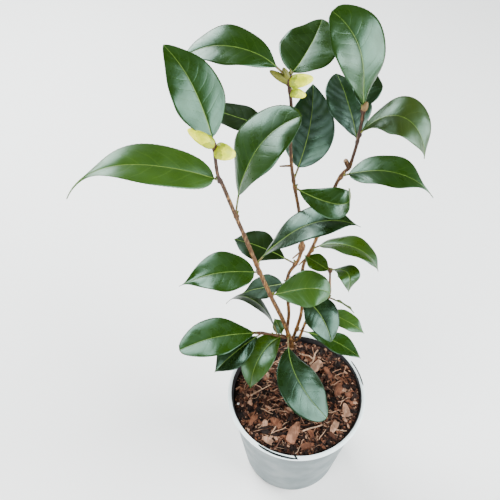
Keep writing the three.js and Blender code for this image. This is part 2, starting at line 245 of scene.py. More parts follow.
class Wiring:
    """A material's nodes, with short calls that add and join them."""

    def __init__(self, name: str, colour: Colour, roughness: float) -> None:
        """Starts a material with one plain colour and roughness."""
        self.material = bpy.data.materials.new(name)
        self.material.use_nodes = True
        self.material.diffuse_color = (*colour, 1.0)
        self.tree = self.material.node_tree
        self.inputs = self.tree.nodes["Principled BSDF"].inputs
        self.join(colour, self.inputs["Base Color"])
        self.join(roughness, self.inputs["Roughness"])

    def join(self, value: Field | float | Colour, socket: bpy.types.NodeSocket) -> None:
        """Links a field to an input, or sets a plain value on it."""
        if isinstance(value, Field):
            self.tree.links.new(value.socket, socket)
        else:
            socket.default_value = (*value, 1.0) if socket.type == "RGBA" else value

    def add(self, kind: str, result: int | str, inputs: dict[int | str, object], **options: str) -> Field:
        """Adds a node.

        Args:
            kind: its type, without the word that all shader nodes start with.
            result: number or name of its output.
            inputs: a field or a plain value for each input.
            options: its own settings.

        Returns:
            The node's output.
        """
        made = self.tree.nodes.new(f"ShaderNode{kind}")
        for name, value in options.items():
            setattr(made, name, value)
        for name, value in inputs.items():
            self.join(value, made.inputs[name])
        return Field(self, made.outputs[result])

    def math(self, operation: str, first: Field, second: Field | float = 0.0) -> Field:
        """Gives a sum on one or two numbers."""
        return self.add("Math", 0, {0: first, 1: second}, operation=operation)

    def place(self, stretch: Triple = (1.0, 1.0, 1.0)) -> Field:
        """Gives the place on the object, stretched along its axes."""
        return self.add("Mapping", "Vector", {"Vector": self.add("TexCoord", "Object", {}), "Scale": stretch})

    def cloud(self, scale: float, detail: float, stretch: Triple = (1.0, 1.0, 1.0)) -> Field:
        """Gives soft random noise of a scale in steps a metre."""
        return self.add("TexNoise", "Fac", {"Vector": self.place(stretch), "Scale": scale, "Detail": detail})

    def cells(self, scale: float, feature: str = "F1", stretch: Triple = (1.0, 1.0, 1.0)) -> Field:
        """Gives the distance within random cells of a scale in cells a metre."""
        inputs = {"Vector": self.place(stretch), "Scale": scale}
        return self.add("TexVoronoi", "Distance", inputs, feature=feature)

    def net(self, scale: float, width: float) -> Field:
        """Gives 1 on the borders of random cells, fading to 0 within a width."""
        return self.cells(scale, "DISTANCE_TO_EDGE").ease(0.0, width, 1.0, 0.0)

    def surface(self, base: Field, gloss: float, rough: Field | None = None) -> None:
        """Gives the shader its base colour, the strength of its mirror light and its roughness."""
        self.join(base, self.inputs["Base Color"])
        self.join(gloss, self.inputs["Specular IOR Level"])
        if rough is not None:
            self.join(rough, self.inputs["Roughness"])

    def relief(self, height: Field, depth: float, strength: float) -> None:
        """Bumps the surface by a height from 0 to 1, whose full depth is in metres."""
        normal = self.add("Bump", "Normal", {"Height": height, "Distance": depth, "Strength": strength})
        self.join(normal, self.inputs["Normal"])


@dataclass(frozen=True)
class Finish:
    """A named surface finish.

    Attributes:
        name: the material's name.
        colour: its main base colour, linear.
        second: the base colour that it varies towards.
        roughness: 0 for a mirror, 1 for chalk.
    """

    name: str
    colour: Colour
    second: Colour
    roughness: float

    def material(self) -> bpy.types.Material:
        """Gives the finish's material, made on its first use."""
        known = bpy.data.materials.get(self.name)
        if known is not None:
            return known
        wiring = Wiring(self.name, self.colour, self.roughness)
        self.wire(wiring)
        return wiring.material

    def wire(self, wiring: Wiring) -> None:
        """Adds the finish's own nodes."""
        raise NotImplementedError

    def rub(self, field: Field, low: float, high: float) -> Field:
        """Gives the finish's roughness, changed by low where a field is low and by high where it is high."""
        return field.ease(0.3, 0.7, self.roughness + low, self.roughness + high)


@dataclass(frozen=True)
class MouldedPlastic(Finish):
    """Thin moulded plastic with a faint grain, dull rubbed patches and a little dust."""

    grain: float = 1500.0
    cloudy: float = 38.0
    gloss: float = 0.35

    def wire(self, wiring: Wiring) -> None:
        """Adds the plastic's clouding, rubbed gloss and fine grain."""
        clouds = wiring.cloud(self.cloudy, 4.0)
        worn = clouds * wiring.cloud(160.0, 2.0, (1.0, 1.0, 0.12))
        face = worn.ease(0.16, 0.42).blend(self.colour, self.second)
        wiring.surface(face, self.gloss, self.rub(clouds, -0.07, 0.09))
        wiring.relief(wiring.cloud(self.grain, 2.0), 0.00006, 0.5)


@dataclass(frozen=True)
class LooseBark(Finish):
    """Composted bark: fibrous, matt, with darker wet patches and a split grain."""

    grain: float = 700.0
    gloss: float = 0.22
    wet: float = 0.45

    def wire(self, wiring: Wiring) -> None:
        """Adds the grain, the wet patches and the rough relief."""
        fibres = wiring.cloud(self.grain, 5.0, (1.0, 0.35, 0.6))
        patches = wiring.cloud(self.grain * 0.2, 3.0)
        tinted = fibres.ease(0.34, 0.66).blend(self.colour, self.second)
        dark = tuple(part * self.wet for part in self.colour)
        damp = patches.ease(0.42, 0.62, 0.0, 0.75).blend(tinted, dark)
        wiring.surface(damp, self.gloss, patches.ease(0.4, 0.65, self.roughness, self.roughness - 0.3))
        wiring.relief(fibres, 0.0006, 0.9)


@dataclass(frozen=True)
class StemBark(Finish):
    """Smooth young bark: brown, with tan lengthwise streaks that are partly its own tan and partly painted
    highlight, and small pale pores.

    Attributes:
        lights: colour of the tan streaks, partly painted highlight, and of the pores.
        gloss: strength of the mirror light.
        young: heights, in metres, between which the bark turns to its dark young colour.
    """

    lights: Colour
    gloss: float = 0.3
    young: Pair = (0.24, 0.40)

    def wire(self, wiring: Wiring) -> None:
        """Adds the lengthwise tan streaks, partly painted highlight, the pores and the fine relief."""
        streaks = wiring.cloud(900.0, 4.0, (1.0, 1.0, 0.16))
        broad = wiring.cloud(130.0, 3.0, (1.0, 1.0, 0.5))
        pores = wiring.cells(420.0, stretch=(1.0, 1.0, 1.8)).ease(0.10, 0.22, 1.0, 0.0)
        brown = broad.ease(0.36, 0.64).blend(self.colour, self.second)
        dark = tuple(part * 0.5 for part in self.colour)
        aged = wiring.place().part(2).ease(*self.young, 0.0, 0.8).blend(brown, dark)
        # Tan streaks along the bark: partly its own tan, partly painted highlight
        lit = streaks.ease(0.52, 0.68, 0.0, 0.8).blend(aged, self.lights)
        spotted = (pores * 0.5).blend(lit, self.lights)
        wiring.surface(spotted, self.gloss, self.rub(streaks, 0.1, -0.12))
        wiring.relief(streaks + pores * 0.4, 0.00035, 0.8)


@dataclass(frozen=True)
class VeinPlan:
    """Where a leaf's side veins run, as shares of its length and half width.

    Attributes:
        pairs: how many veins leave the midrib on each side.
        lean: how far along, in vein gaps, a vein is where it meets the margin.
        curve: how much of that lean comes late, near the margin.
        offset: how far the right side's veins are moved against the left's.
    """

    pairs: float = 8.5
    lean: float = 1.1
    curve: float = 0.8
    offset: float = 0.35

    def phase(self, across: float, along: float) -> float:
        """Counts the veins passed at a place; whole numbers lie on a vein."""
        out = abs(across)
        side = self.offset if across > 0 else 0.0
        return along * self.pairs - out * self.lean - out * out * self.curve + side


VEINS = VeinPlan()


@dataclass(frozen=True)
class LeafFace(Finish):
    """The upper face of a leaf: leathery and glossy, with paler veins in a fine net.

    Attributes:
        vein: base colour of the side veins.
        coat: strength of the waxy coat.
        gloss: strength of the mirror light.
        sheen: tint of the mirror light.
        spread: how softly the two base colours pass into each other, half the range.
        streaked: how far the second colour keeps to streaks between the veins.
    """

    vein: Colour
    coat: float = 0.10
    gloss: float = 0.44
    sheen: Colour = (0.50, 1.0, 0.80)
    spread: float = 0.3
    streaked: float = 0.0

    def wire(self, wiring: Wiring) -> None:
        """Adds the veins, the mottling, the waxy gloss and the fine relief."""
        uv = wiring.add("UVMap", "UV", {}, uv_map="blade")
        across = (uv.part(0) - 0.5) * 2.0
        out = abs(across)
        late = out * VEINS.lean + out * out * VEINS.curve
        phase = uv.part(1) * VEINS.pairs - late + (across > 0.0) * VEINS.offset
        wander = (wiring.cloud(180.0, 2.0) - 0.5) * 0.22
        gap = abs(wiring.math("FRACT", phase + wander) - 0.5)
        veins = gap.ease(0.42, 0.5) * out.ease(0.55, 0.95, 1.0, 0.0)
        net = wiring.net(520.0, 0.10)
        mottle = wiring.cloud(60.0, 4.0).ease(0.5 - self.spread, 0.5 + self.spread)
        if self.streaked:
            mottle = mottle * gap.ease(0.04, 0.46, 1.0, 1.0 - self.streaked)
        netted = (net * 0.08).blend(mottle.blend(self.colour, self.second), self.vein)
        veined = (veins * 0.30).blend(netted, self.vein)
        wiring.surface(veined, self.gloss, self.rub(wiring.cloud(110.0, 3.0), -0.06, 0.08))
        wax = {"Specular Tint": self.sheen, "Coat Weight": self.coat, "Coat Roughness": 0.3}
        for name, value in wax.items():
            wiring.join(value, wiring.inputs[name])
        wiring.relief(veins * -0.45 + net * -0.15 + mottle * 0.3, 0.00018, 0.5)


@dataclass(frozen=True)
class LeafBack(Finish):
    """The under face of a leaf: pale olive and dull, with a fine net."""

    def wire(self, wiring: Wiring) -> None:
        """Adds the mottling, the net and its relief."""
        net = wiring.net(430.0, 0.12)
        mottle = wiring.cloud(90.0, 4.0)
        face = mottle.ease(0.3, 0.7).blend(self.colour, self.second)
        wiring.surface((net * 0.3).blend(face, self.second), 0.5, self.rub(mottle, -0.05, 0.08))
        wiring.relief(net, 0.0003, 0.6)


@dataclass(frozen=True)
class SoftTissue(Finish):
    """Midribs, leaf stalks and bud scales: pale, slightly waxy, with streaks of a scale in steps a metre."""

    streak: float = 600.0

    def wire(self, wiring: Wiring) -> None:
        """Adds streaks, soft tints and a waxy gloss."""
        streaks = wiring.cloud(self.streak, 3.0, (1.0, 1.0, 0.4))
        tints = wiring.cloud(self.streak * 0.3, 2.0)
        share = ((streaks + tints) * 0.5).ease(0.38, 0.62)
        wiring.surface(share.blend(self.colour, self.second), 0.3, self.rub(streaks, -0.06, 0.06))
        wiring.relief(streaks, 0.0002, 0.5)


@dataclass(frozen=True)
class StudioPaint(Finish):
    """The pale matt floor of the studio."""

    def wire(self, wiring: Wiring) -> None:
        """Adds a hardly visible clouding."""
        wiring.surface(wiring.cloud(3.0, 2.0).blend(self.colour, self.second), 0.2)


# The pot's outside below the lip: the lip's pale plastic, painted far darker as shade
POT_PLASTIC_PAINTED_SHADE = MouldedPlastic("pot_plastic_painted_shade", (0.104, 0.138, 0.145), (0.088, 0.119, 0.127), 0.42)
LIP_PLASTIC = MouldedPlastic("pot_lip_plastic", (0.84, 0.95, 0.97), (0.72, 0.86, 0.90), 0.34)
INNER_PLASTIC = MouldedPlastic("pot_inner_plastic", (0.022, 0.022, 0.025), (0.045, 0.043, 0.045), 0.6)
RIM_TAR = MouldedPlastic("rim_mark", (0.006, 0.008, 0.009), (0.012, 0.014, 0.015), 0.7, gloss=0.1)
COMPOST_FILL = LooseBark("compost_fill", (0.006, 0.0025, 0.0015), (0.014, 0.006, 0.0035), 0.95)
WOODY_STEM = StemBark("woody_stem", (0.050, 0.018, 0.004), (0.110, 0.045, 0.010), 0.6, (0.33, 0.17, 0.050))
YOUNG_STEM = StemBark("young_stem", (0.038, 0.013, 0.006), (0.062, 0.024, 0.009), 0.55, (0.14, 0.065, 0.025))
CUT_WOOD = LooseBark("cut_wood", (0.42, 0.28, 0.18), (0.52, 0.38, 0.26), 0.8)
LEAF_BACK = LeafBack("leaf_back", (0.062, 0.092, 0.026), (0.090, 0.125, 0.040), 0.6)
LEAF_RIB = SoftTissue("leaf_rib", (0.075, 0.14, 0.018), (0.12, 0.21, 0.034), 0.42)
LEAF_RIB_BACK = SoftTissue("leaf_rib_back", (0.15, 0.21, 0.06), (0.20, 0.27, 0.09), 0.55)
LEAF_STALK = SoftTissue("leaf_stalk", (0.11, 0.13, 0.035), (0.11, 0.065, 0.028), 0.5)
BUD_SCALE = SoftTissue("bud_scale", (0.72, 0.76, 0.004), (0.86, 0.86, 0.05), 0.5, 420.0)
BUD_MIDDLE = SoftTissue("bud_middle_scale", (0.46, 0.52, 0.002), (0.64, 0.67, 0.006), 0.5, 420.0)
BUD_OUTER = SoftTissue("bud_outer_scale", (0.17, 0.23, 0.002), (0.34, 0.39, 0.004), 0.5, 420.0)
BUD_OLIVE = SoftTissue("bud_olive", (0.050, 0.056, 0.004), (0.12, 0.125, 0.012), 0.5, 420.0)
BUD_BROWN = SoftTissue("bud_brown", (0.10, 0.045, 0.020), (0.17, 0.11, 0.04), 0.6)
FLOOR_PAINT = StudioPaint("studio_floor", (0.95, 0.95, 0.95), (0.93, 0.93, 0.935), 0.9)


class LeafTone(Enum):
    """The plain base colours dealt out to the leaves, one to a leaf."""

    # Painted shade: a darker, duller copy of the leaf colour, dealt to the leaves deep inside the crown
    SHADED = LeafFace(
        "leaf_shaded", (0.003, 0.0075, 0.0004), (0.0055, 0.013, 0.0006), 0.42, (0.014, 0.03, 0.003),
        coat=0.0, gloss=0.13,
    )
    DEEP = LeafFace(
        "leaf_deep", (0.003, 0.0095, 0.0006), (0.0045, 0.013, 0.0008), 0.28, (0.014, 0.034, 0.005)
    )
    MIDDLE = LeafFace("leaf_middle", (0.008, 0.025, 0.0006), (0.011, 0.032, 0.001), 0.29, (0.03, 0.07, 0.006))
    # A paler green; on leaf_front_middle and leaf_right_small it stands in for their mirror light: painted
    # sheen
    LIGHT = LeafFace("leaf_pale_and_painted_sheen", (0.021, 0.052, 0.004), (0.028, 0.066, 0.005), 0.34, (0.06, 0.12, 0.015))
    FRESH = LeafFace("leaf_fresh", (0.013, 0.032, 0.0003), (0.018, 0.041, 0.0004), 0.31, (0.045, 0.09, 0.003))
    OLIVE = LeafFace("leaf_olive", (0.018, 0.033, 0.003), (0.023, 0.041, 0.004), 0.36, (0.05, 0.075, 0.012))
    # Painted sheen: a dark leaf colour with pale blue-grey streaks between the veins that stand in for mirror
    # light
    CLOUDED = LeafFace(
        "leaf_painted_sheen_streaks", (0.0055, 0.017, 0.0030), (0.040, 0.066, 0.054), 0.32, (0.010, 0.026, 0.008),
        spread=0.13, streaked=0.75,
    )


class BitTone(Enum):
    """The plain base colours dealt out to the loose bits of the compost."""

    DARK = LooseBark("chip_dark", (0.008, 0.003, 0.0018), (0.016, 0.0065, 0.004), 0.9)
    BROWN = LooseBark("chip_brown", (0.034, 0.011, 0.006), (0.062, 0.023, 0.012), 0.86)
    RED = LooseBark("chip_red", (0.115, 0.040, 0.020), (0.19, 0.078, 0.041), 0.82)
    PINK = LooseBark("chip_pink", (0.29, 0.145, 0.088), (0.44, 0.27, 0.18), 0.82)
    TWIG = LooseBark("pale_twig", (0.50, 0.33, 0.22), (0.34, 0.20, 0.13), 0.85)
    TAN = LooseBark("chip_tan", (0.20, 0.085, 0.048), (0.28, 0.135, 0.08), 0.82)
    GRAIN = LooseBark("white_grain", (0.80, 0.78, 0.74), (0.66, 0.62, 0.57), 0.9)


# Pieces


def put(name: str, data: bpy.types.ID) -> bpy.types.Object:
    """Puts data into the scene as an object at the origin, and gives the object."""
    obj = bpy.data.objects.new(name, data)
    bpy.context.scene.collection.objects.link(obj)
    return obj


def put_mesh(name: str, mesh: BMesh) -> bpy.types.Object:
    """Puts a modelled mesh into the scene, frees it and gives its object."""
    data = bpy.data.meshes.new(name)
    mesh.to_mesh(data)
    mesh.free()
    return put(name, data)


def faces_of(verts: Sequence[BMVert]) -> list[BMFace]:
    """Gives the faces round some points, each once."""
    return list(dict.fromkeys(face for vert in verts if vert.is_valid for face in vert.link_faces))


class Piece:
    """One named mesh of the model, gathered in millimetres and closed in metres."""

    def __init__(self, name: str) -> None:
        """Starts an empty piece."""
        self.name = name
        self.mesh = bmesh.new()
        self.finishes: list[Finish] = []

    def slot(self, finish: Finish) -> int:
        """Gives the material slot of a finish, added on its first use."""
        if finish not in self.finishes:
            self.finishes.append(finish)
        return self.finishes.index(finish)

    def coat(self, faces: Sequence[BMFace], finish: Finish) -> None:
        """Turns a skin's faces outwards, and gives them smooth shading and a finish."""
        bmesh.ops.recalc_face_normals(self.mesh, faces=faces)
        slot = self.slot(finish)
        for face in faces:
            face.smooth = True
            face.material_index = slot

    def wrap(self, around: int, along: int, place: Place, finish: Finish) -> None:
        """Adds a closed round skin by rolling up a grid.

        Args:
            around: faces round the skin.
            along: faces from its first end to its last.
            place: gives the point for a share round and a share along; each end is one point.
            finish: what the skin is made of.
        """
        verts = bmesh.ops.create_grid(self.mesh, x_segments=around, y_segments=along, size=0.5)["verts"]
        for vert in verts:
            vert.co = place(vert.co.x + 0.5, vert.co.y + 0.5)
        bmesh.ops.remove_doubles(self.mesh, verts=verts, dist=MERGE)
        self.coat(faces_of(verts), finish)

    def slab(self, columns: int, rows: int) -> tuple[list[BMVert], list[BMFace]]:
        """Adds a closed slab, 2 units wide and long, with its under face one unit lower.

        Args:
            columns: faces across.
            rows: faces along.

        Returns:
            The slab's points and its faces.
        """
        verts = bmesh.ops.create_grid(self.mesh, x_segments=columns, y_segments=rows, size=1.0)["verts"]
        made = bmesh.ops.extrude_face_region(self.mesh, geom=faces_of(verts), use_keep_orig=True)["geom"]
        under = [part for part in made if isinstance(part, BMVert)]
        bmesh.ops.translate(self.mesh, vec=(0.0, 0.0, -1.0), verts=under)
        return verts + under, faces_of(verts + under)

    def dress(self, obj: bpy.types.Object, stands_for: Sequence[str], slot: str) -> bpy.types.Object:
        """Gives an object its materials and its body, and hides the nodes that it stands for.

        Args:
            obj: the object.
            stands_for: names of the nodes that it replaces.
            slot: a material slot's name, which is not used.

        Returns:
            The same object.
        """
        for finish in self.finishes:
            obj.data.materials.append(finish.material())
        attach(obj, "root")
        if stands_for:
            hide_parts(*stands_for)
        LOG.info("%s: %d faces, stands for %s", obj.name, len(obj.data.polygons), list(stands_for))
        return obj

    def close(self, stands_for: Sequence[str], slot: str) -> bpy.types.Object:
        """Brings the gathered mesh to metres, and dresses it as a finished piece at the origin."""
        bmesh.ops.scale(self.mesh, vec=(MM, MM, MM), verts=self.mesh.verts)
        return self.dress(put_mesh(self.name, self.mesh), stands_for, slot)


# Pot and compost


@dataclass(frozen=True)
class Pot:
    """The thin tapered pot with its rolled lip and its drain holes."""

    height: float = 130.0
    rim_radius: float = 65.0
    lip_width: float = 3.5
    lip_drop: float = 5.5
    lip_round: float = 1.6
    neck_radius: float = 62.2
    base_radius: float = 49.0
    foot_round: float = 3.0
    wall: float = 2.0
    floor: float = 3.0
    floor_rings: tuple[float, ...] = (0.0, 20.0, 34.0)
    segments: int = 144
    crease: float = 40.0
    drain_count: int = 5
    drain_radius: float = 4.0
    drain_circle: float = 27.0
    drain_sides: int = 24

    @property
    def neck(self) -> float:
        """Gives the height at which the lip starts."""
        return self.height - self.lip_drop

    def inner_radius(self, height: float) -> float:
        """Gives the inside radius at a height."""
        slope = (self.neck_radius - self.base_radius) / self.neck
        outer = self.base_radius + slope * min(height, self.neck)
        return min(outer - self.wall, self.rim_radius - self.lip_width)

    @staticmethod
    def corner(radius: float, height: float, soft: float, steps: int) -> list[Pair]:
        """Gives the outline round an outer corner, from under it to beside it, in equal steps."""
        turns = [math.radians(90.0 / steps * step) for step in range(steps + 1)]
        curve = [(1 - math.sin(turn), 1 - math.cos(turn)) for turn in turns]
        return [(radius - soft * inward, height + soft * up) for inward, up in curve]

    def outline(self) -> list[Pair]:
        """Gives the wall's outline, from the underside's middle round the lip to the floor's middle."""
        half, soft, neck = self.lip_width / 2, self.lip_round, self.neck
        ridge, shoulder = self.rim_radius - half, self.height - soft
        under = [(ring, 0.0) for ring in self.floor_rings]
        foot = self.corner(self.base_radius, 0.0, self.foot_round, 6)
        hem = self.corner(self.rim_radius, neck, soft, 4)
        turns = [math.radians(15.0 * step) for step in range(13)]
        crest = [(ridge + half * math.cos(turn), shoulder + soft * math.sin(turn)) for turn in turns]
        wall = [(self.inner_radius(height), height) for height in (neck, neck - 2, self.floor + 2)]
        floor = [(ring, self.floor) for ring in (self.inner_radius(0) - 2, *reversed(self.floor_rings))]
        return [*under, *foot, (self.neck_radius, neck), *hem, *crest, *wall, *floor]

    def shell(self, piece: Piece) -> None:
        """Spins the outline into the pot's wall, and paints its outside, lip and inside."""
        mesh = piece.mesh
        points = [Vector((radius, 0.0, height)) for radius, height in self.outline()]
        verts = [bmesh.ops.create_vert(mesh, co=point)["vert"][0] for point in points]
        for here, there in zip(verts, verts[1:]):
            bmesh.ops.contextual_create(mesh, geom=[here, there])
        bmesh.ops.spin(
            mesh, geom=[*mesh.verts, *mesh.edges], cent=(0, 0, 0), axis=(0, 0, 1), dvec=(0, 0, 0),
            angle=math.tau, steps=self.segments, use_merge=True, use_duplicate=False,
        )
        bmesh.ops.remove_doubles(mesh, verts=mesh.verts, dist=MERGE)
        bmesh.ops.recalc_face_normals(mesh, faces=mesh.faces)
        # The outside below the lip gets the darker plastic: painted shade
        body, lip, inside = (piece.slot(finish) for finish in (POT_PLASTIC_PAINTED_SHADE, LIP_PLASTIC, INNER_PLASTIC))
        for face in mesh.faces:
            middle = face.calc_center_median()
            radius = math.hypot(middle.x, middle.y)
            inward = face.normal.dot(Vector((middle.x, middle.y, 0.0))) < 0
            if middle.z > self.neck - 0.01 and radius > self.rim_radius - self.lip_width + 0.2:
                face.material_index = lip
            else:
                face.material_index = inside if inward or radius < self.base_radius - 8 else body
            face.smooth = True
        for edge in mesh.edges:
            edge.smooth = edge.calc_face_angle(0.0) < math.radians(self.crease)

    def cut_drains(self, obj: bpy.types.Object) -> None:
        """Cuts the drain holes through the floor of the finished shell."""
        tool = bmesh.new()
        for i in range(self.drain_count):
            turn = (i + 0.5) / self.drain_count * math.tau
            spot = Vector((math.cos(turn), math.sin(turn), 0.0)) * self.drain_circle
            spot.z = self.floor / 2
            bmesh.ops.create_cone(
                tool,
                cap_ends=True,
                segments=self.drain_sides,
                radius1=self.drain_radius * MM,
                radius2=self.drain_radius * MM,
                depth=self.floor * 3 * MM,
                matrix=Matrix.Translation(spot * MM),
            )
        cutter = put_mesh("drain_cutter", tool)
        cut = obj.modifiers.new("drains", "BOOLEAN")
        cut.operation = "DIFFERENCE"
        cut.solver = "EXACT"
        cut.object = cutter
        bpy.context.view_layer.update()
        done = bpy.data.meshes.new_from_object(obj.evaluated_get(bpy.context.evaluated_depsgraph_get()))
        obj.modifiers.clear()
        obj.data = done
        bpy.data.objects.remove(cutter)

    def build(self) -> None:
        """Builds and dresses the pot."""
        piece = Piece("pot_shell")
        self.shell(piece)
        self.cut_drains(piece.close(["pot"], "pot"))


@dataclass(frozen=True)
class RimMark:
    """A thin dark line that lies on the pot's lip, like a seam of the moulding.

    Attributes:
        turn: angles round the rim at which it starts and ends, in degrees.
        crest: how far over the lip it runs there: 0 on the outside, 90 on top, 180 inside.
        half: half its breadth, as an angle over the lip and as an angle round the rim.
        thick: how far it stands out of the lip.
    """

    turn: Pair
    crest: Pair
    half: Pair
    thick: float = 0.35
    sides: int = 12
    steps: int = 24

    def skin(self, around: float, along: float) -> Vector:
        """Gives a point of the mark, for a share round it and a share along it."""
        taper = math.sqrt(max(0.0, 1 - (2 * along - 1) ** 6))
        side = taper * math.cos(around * math.tau)
        raised = taper * math.sin(around * math.tau) * self.thick
        over = math.radians(mix(*self.crest, along) + self.half[0] * side)
        turn = math.radians(mix(*self.turn, along) + self.half[1] * side)
        radius = POT.rim_radius - POT.lip_width / 2 + (POT.lip_width / 2 + raised) * math.cos(over)
        height = POT.height - POT.lip_round + (POT.lip_round + raised) * math.sin(over)
        return Vector((radius * math.cos(turn), radius * math.sin(turn), height))


POT = Pot()
RIM_MARKS = (
    RimMark((-126.0, -91.5), (95.0, 40.0), (34.0, 0.0)),
    RimMark((-94.5, -91.5), (185.0, 15.0), (0.0, 1.0)),
    RimMark((6.0, 32.0), (50.0, 55.0), (32.0, 0.0)),
)


@dataclass(frozen=True)
class Compost:
    """The bark compost in the pot, heaped round the foot of the stems.

    Attributes:
        level: height at the wall.
        dip: how much lower the middle is.
        heel: how much higher it lies at the right.
        spill: how much wider it reaches there.
        mound_top: height of the heap round the stems.
        mound_radius: where the heap's slope starts.
        mound_spread: where it ends.
        foot: the heap's middle.
        top_share: share of the skin's rows on the top, and wall_share down to the wall's end.
    """

    level: float = 121.0
    dip: float = 4.5
    heel: float = 5.5
    spill: float = 0.75
    mound_top: float = 126.0
    mound_radius: float = 9.0
    mound_spread: float = 20.0
    foot: Pair = (-3.0, 51.0)
    soft: float = 1.5
    around: int = 160
    along: int = 110
    top_share: float = 0.8
    wall_share: float = 0.95

    def edge(self, turn: float = math.pi) -> float:
        """Gives the radius of the fill at its top, which lies higher and wider towards the right."""
        return POT.inner_radius(self.level) - CLEAR + self.spill * max(0.0, math.cos(turn)) ** 0.5

    def ground(self, x: float, y: float) -> float:
        """Gives the height of the compost's plain surface."""
        share = min(1.0, math.hypot(x, y) / self.edge())
        bed = self.level - self.dip * (1 - share) + self.heel * max(0.0, x) / self.edge()
        away = math.hypot(x - self.foot[0], y - self.foot[1])
        slope = (self.mound_top - self.level + self.dip) / (self.mound_spread - self.mound_radius)
        heap = min(self.mound_top, self.mound_top - (away - self.mound_radius) * slope)
        return max(bed, heap) + self.soft * math.exp(-abs(bed - heap) / self.soft) * 0.3

    def skin(self, around: float, along: float) -> Vector:
        """Gives a point of the fill's skin, from its top's middle down the wall to its bottom's middle."""
        turn = around * math.tau
        out = Vector((math.cos(turn), math.sin(turn), 0.0))
        bottom = POT.floor + CLEAR
        if along <= self.top_share:
            share = along / self.top_share
            spot = out * (self.edge(turn) * share)
            rough = noise.fractal(spot * 0.16, 0.8, 2.0, 4) * 1.5
            rough += noise.noise(spot * 0.65) * 0.8
            spot.z = self.ground(spot.x, spot.y) + rough * min(1.0, (1 - share) * 12)
            return spot
        if along <= self.wall_share:
            share = (along - self.top_share) / (self.wall_share - self.top_share)
            height = mix(self.level + self.heel * max(0.0, out.x), bottom, share)
            radius = min(self.edge(turn), POT.inner_radius(height) - CLEAR)
            return out * radius + UP * height
        share = (along - self.wall_share) / (1 - self.wall_share)
        return out * ((POT.inner_radius(bottom) - CLEAR) * (1 - share)) + UP * bottom

    def build(self) -> None:
        """Builds the fill under the chips."""
        piece = Piece("compost_fill")
        piece.wrap(self.around, self.along, self.skin, COMPOST_FILL)
        piece.close(["compost"], "compost")


COMPOST = Compost()


@dataclass(frozen=True)
class StrewnBits:
    """One kind of loose bit that is strewn over the compost.

    Attributes:
        count: how many are strewn.
        size: least and greatest length.
        slim: width as a share of length.
        flat: thickness as a share of length.
        weights: how often each of the first bit tones is dealt.
        tilt: how far it may lean, in degrees.
        lift: how high its middle lies above the ground, as a share of its thickness.
    """

    count: int
    size: Pair
    slim: Pair
    flat: Pair
    weights: tuple[float, ...]
    tilt: float
    lift: float = 0.3


@dataclass(frozen=True)
class LaidBit:
    """A bit of the compost that has its own place: a large chip, a pale twig or a white grain."""

    spot: Pair
    turn: float
    size: Triple
    tone: BitTone
    tilt: float
    lift: float


class BitShapes:
    """The few shapes that the loose bits repeat, each of a few dozen faces."""

    def __init__(self) -> None:
        """Models the shapes once."""
        self.chips = [self.chip(seed) for seed in range(9)]
        self.crumbs = [self.crumb(seed) for seed in range(6)]
        self.slivers = [self.sliver(seed) for seed in range(6)]

    @staticmethod
    def arrays(mesh: BMesh) -> Shape:
        """Reads a small mesh into its points and faces, and frees it."""
        bmesh.ops.recalc_face_normals(mesh, faces=mesh.faces)
        mesh.verts.index_update()
        points = np.array([tuple(vert.co) for vert in mesh.verts])
        faces = [[vert.index for vert in face.verts] for face in mesh.faces]
        mesh.free()
        return points, faces

    def chip(self, seed: int) -> Shape:
        """Models a flat broken chip, one unit long, wide and thick."""
        mesh = bmesh.new()
        bmesh.ops.create_cube(mesh, size=1.0)
        bmesh.ops.subdivide_edges(mesh, edges=mesh.edges, cuts=1, use_grid_fill=True)
        for vert in mesh.verts:
            round_off = 1 - 0.16 * (vert.co.length / 0.87) ** 3
            ragged = noise.noise_vector(vert.co * 2.1 + Vector((seed * 7.3, 0.0, 0.0))) * 0.30
            pinch = 1 - 0.45 * abs(vert.co.x * 2) ** 1.4 * (0.6 + 0.4 * math.sin(seed * 2.3 + vert.co.x * 3))
            vert.co.y *= pinch
            vert.co = vert.co * round_off + Vector((ragged.x, ragged.y, ragged.z * 0.8))
            vert.co.z += 0.25 * math.cos(vert.co.x * 2.4 + seed)
        return self.arrays(mesh)

    def crumb(self, seed: int) -> Shape:
        """Models a small angular crumb."""
        mesh = bmesh.new()
        bmesh.ops.create_icosphere(mesh, subdivisions=1, radius=0.5)
        for vert in mesh.verts:
            vert.co *= 1 + 0.45 * noise.noise(vert.co * 3.0 + Vector((0.0, seed * 5.1, 0.0)))
        return self.arrays(mesh)

    def sliver(self, seed: int) -> Shape:
        """Models a thin bent fibre along X."""
        mesh = bmesh.new()
        bmesh.ops.create_cone(
            mesh, cap_ends=True, segments=5, radius1=0.5, radius2=0.38, depth=1.0,
            matrix=Matrix.Rotation(math.pi / 2, 4, "Y"),
        )
        long_edges = [edge for edge in mesh.edges if abs(edge.verts[0].co.x - edge.verts[1].co.x) > 0.5]
        bmesh.ops.subdivide_edges(mesh, edges=long_edges, cuts=3)
        for vert in mesh.verts:
            vert.co.y += 2.2 * noise.noise(Vector((vert.co.x * 1.7, seed * 3.7, 0.0)))
            vert.co.z += 1.2 * noise.noise(Vector((vert.co.x * 1.5, 9.0, seed * 3.7)))
        return self.arrays(mesh)


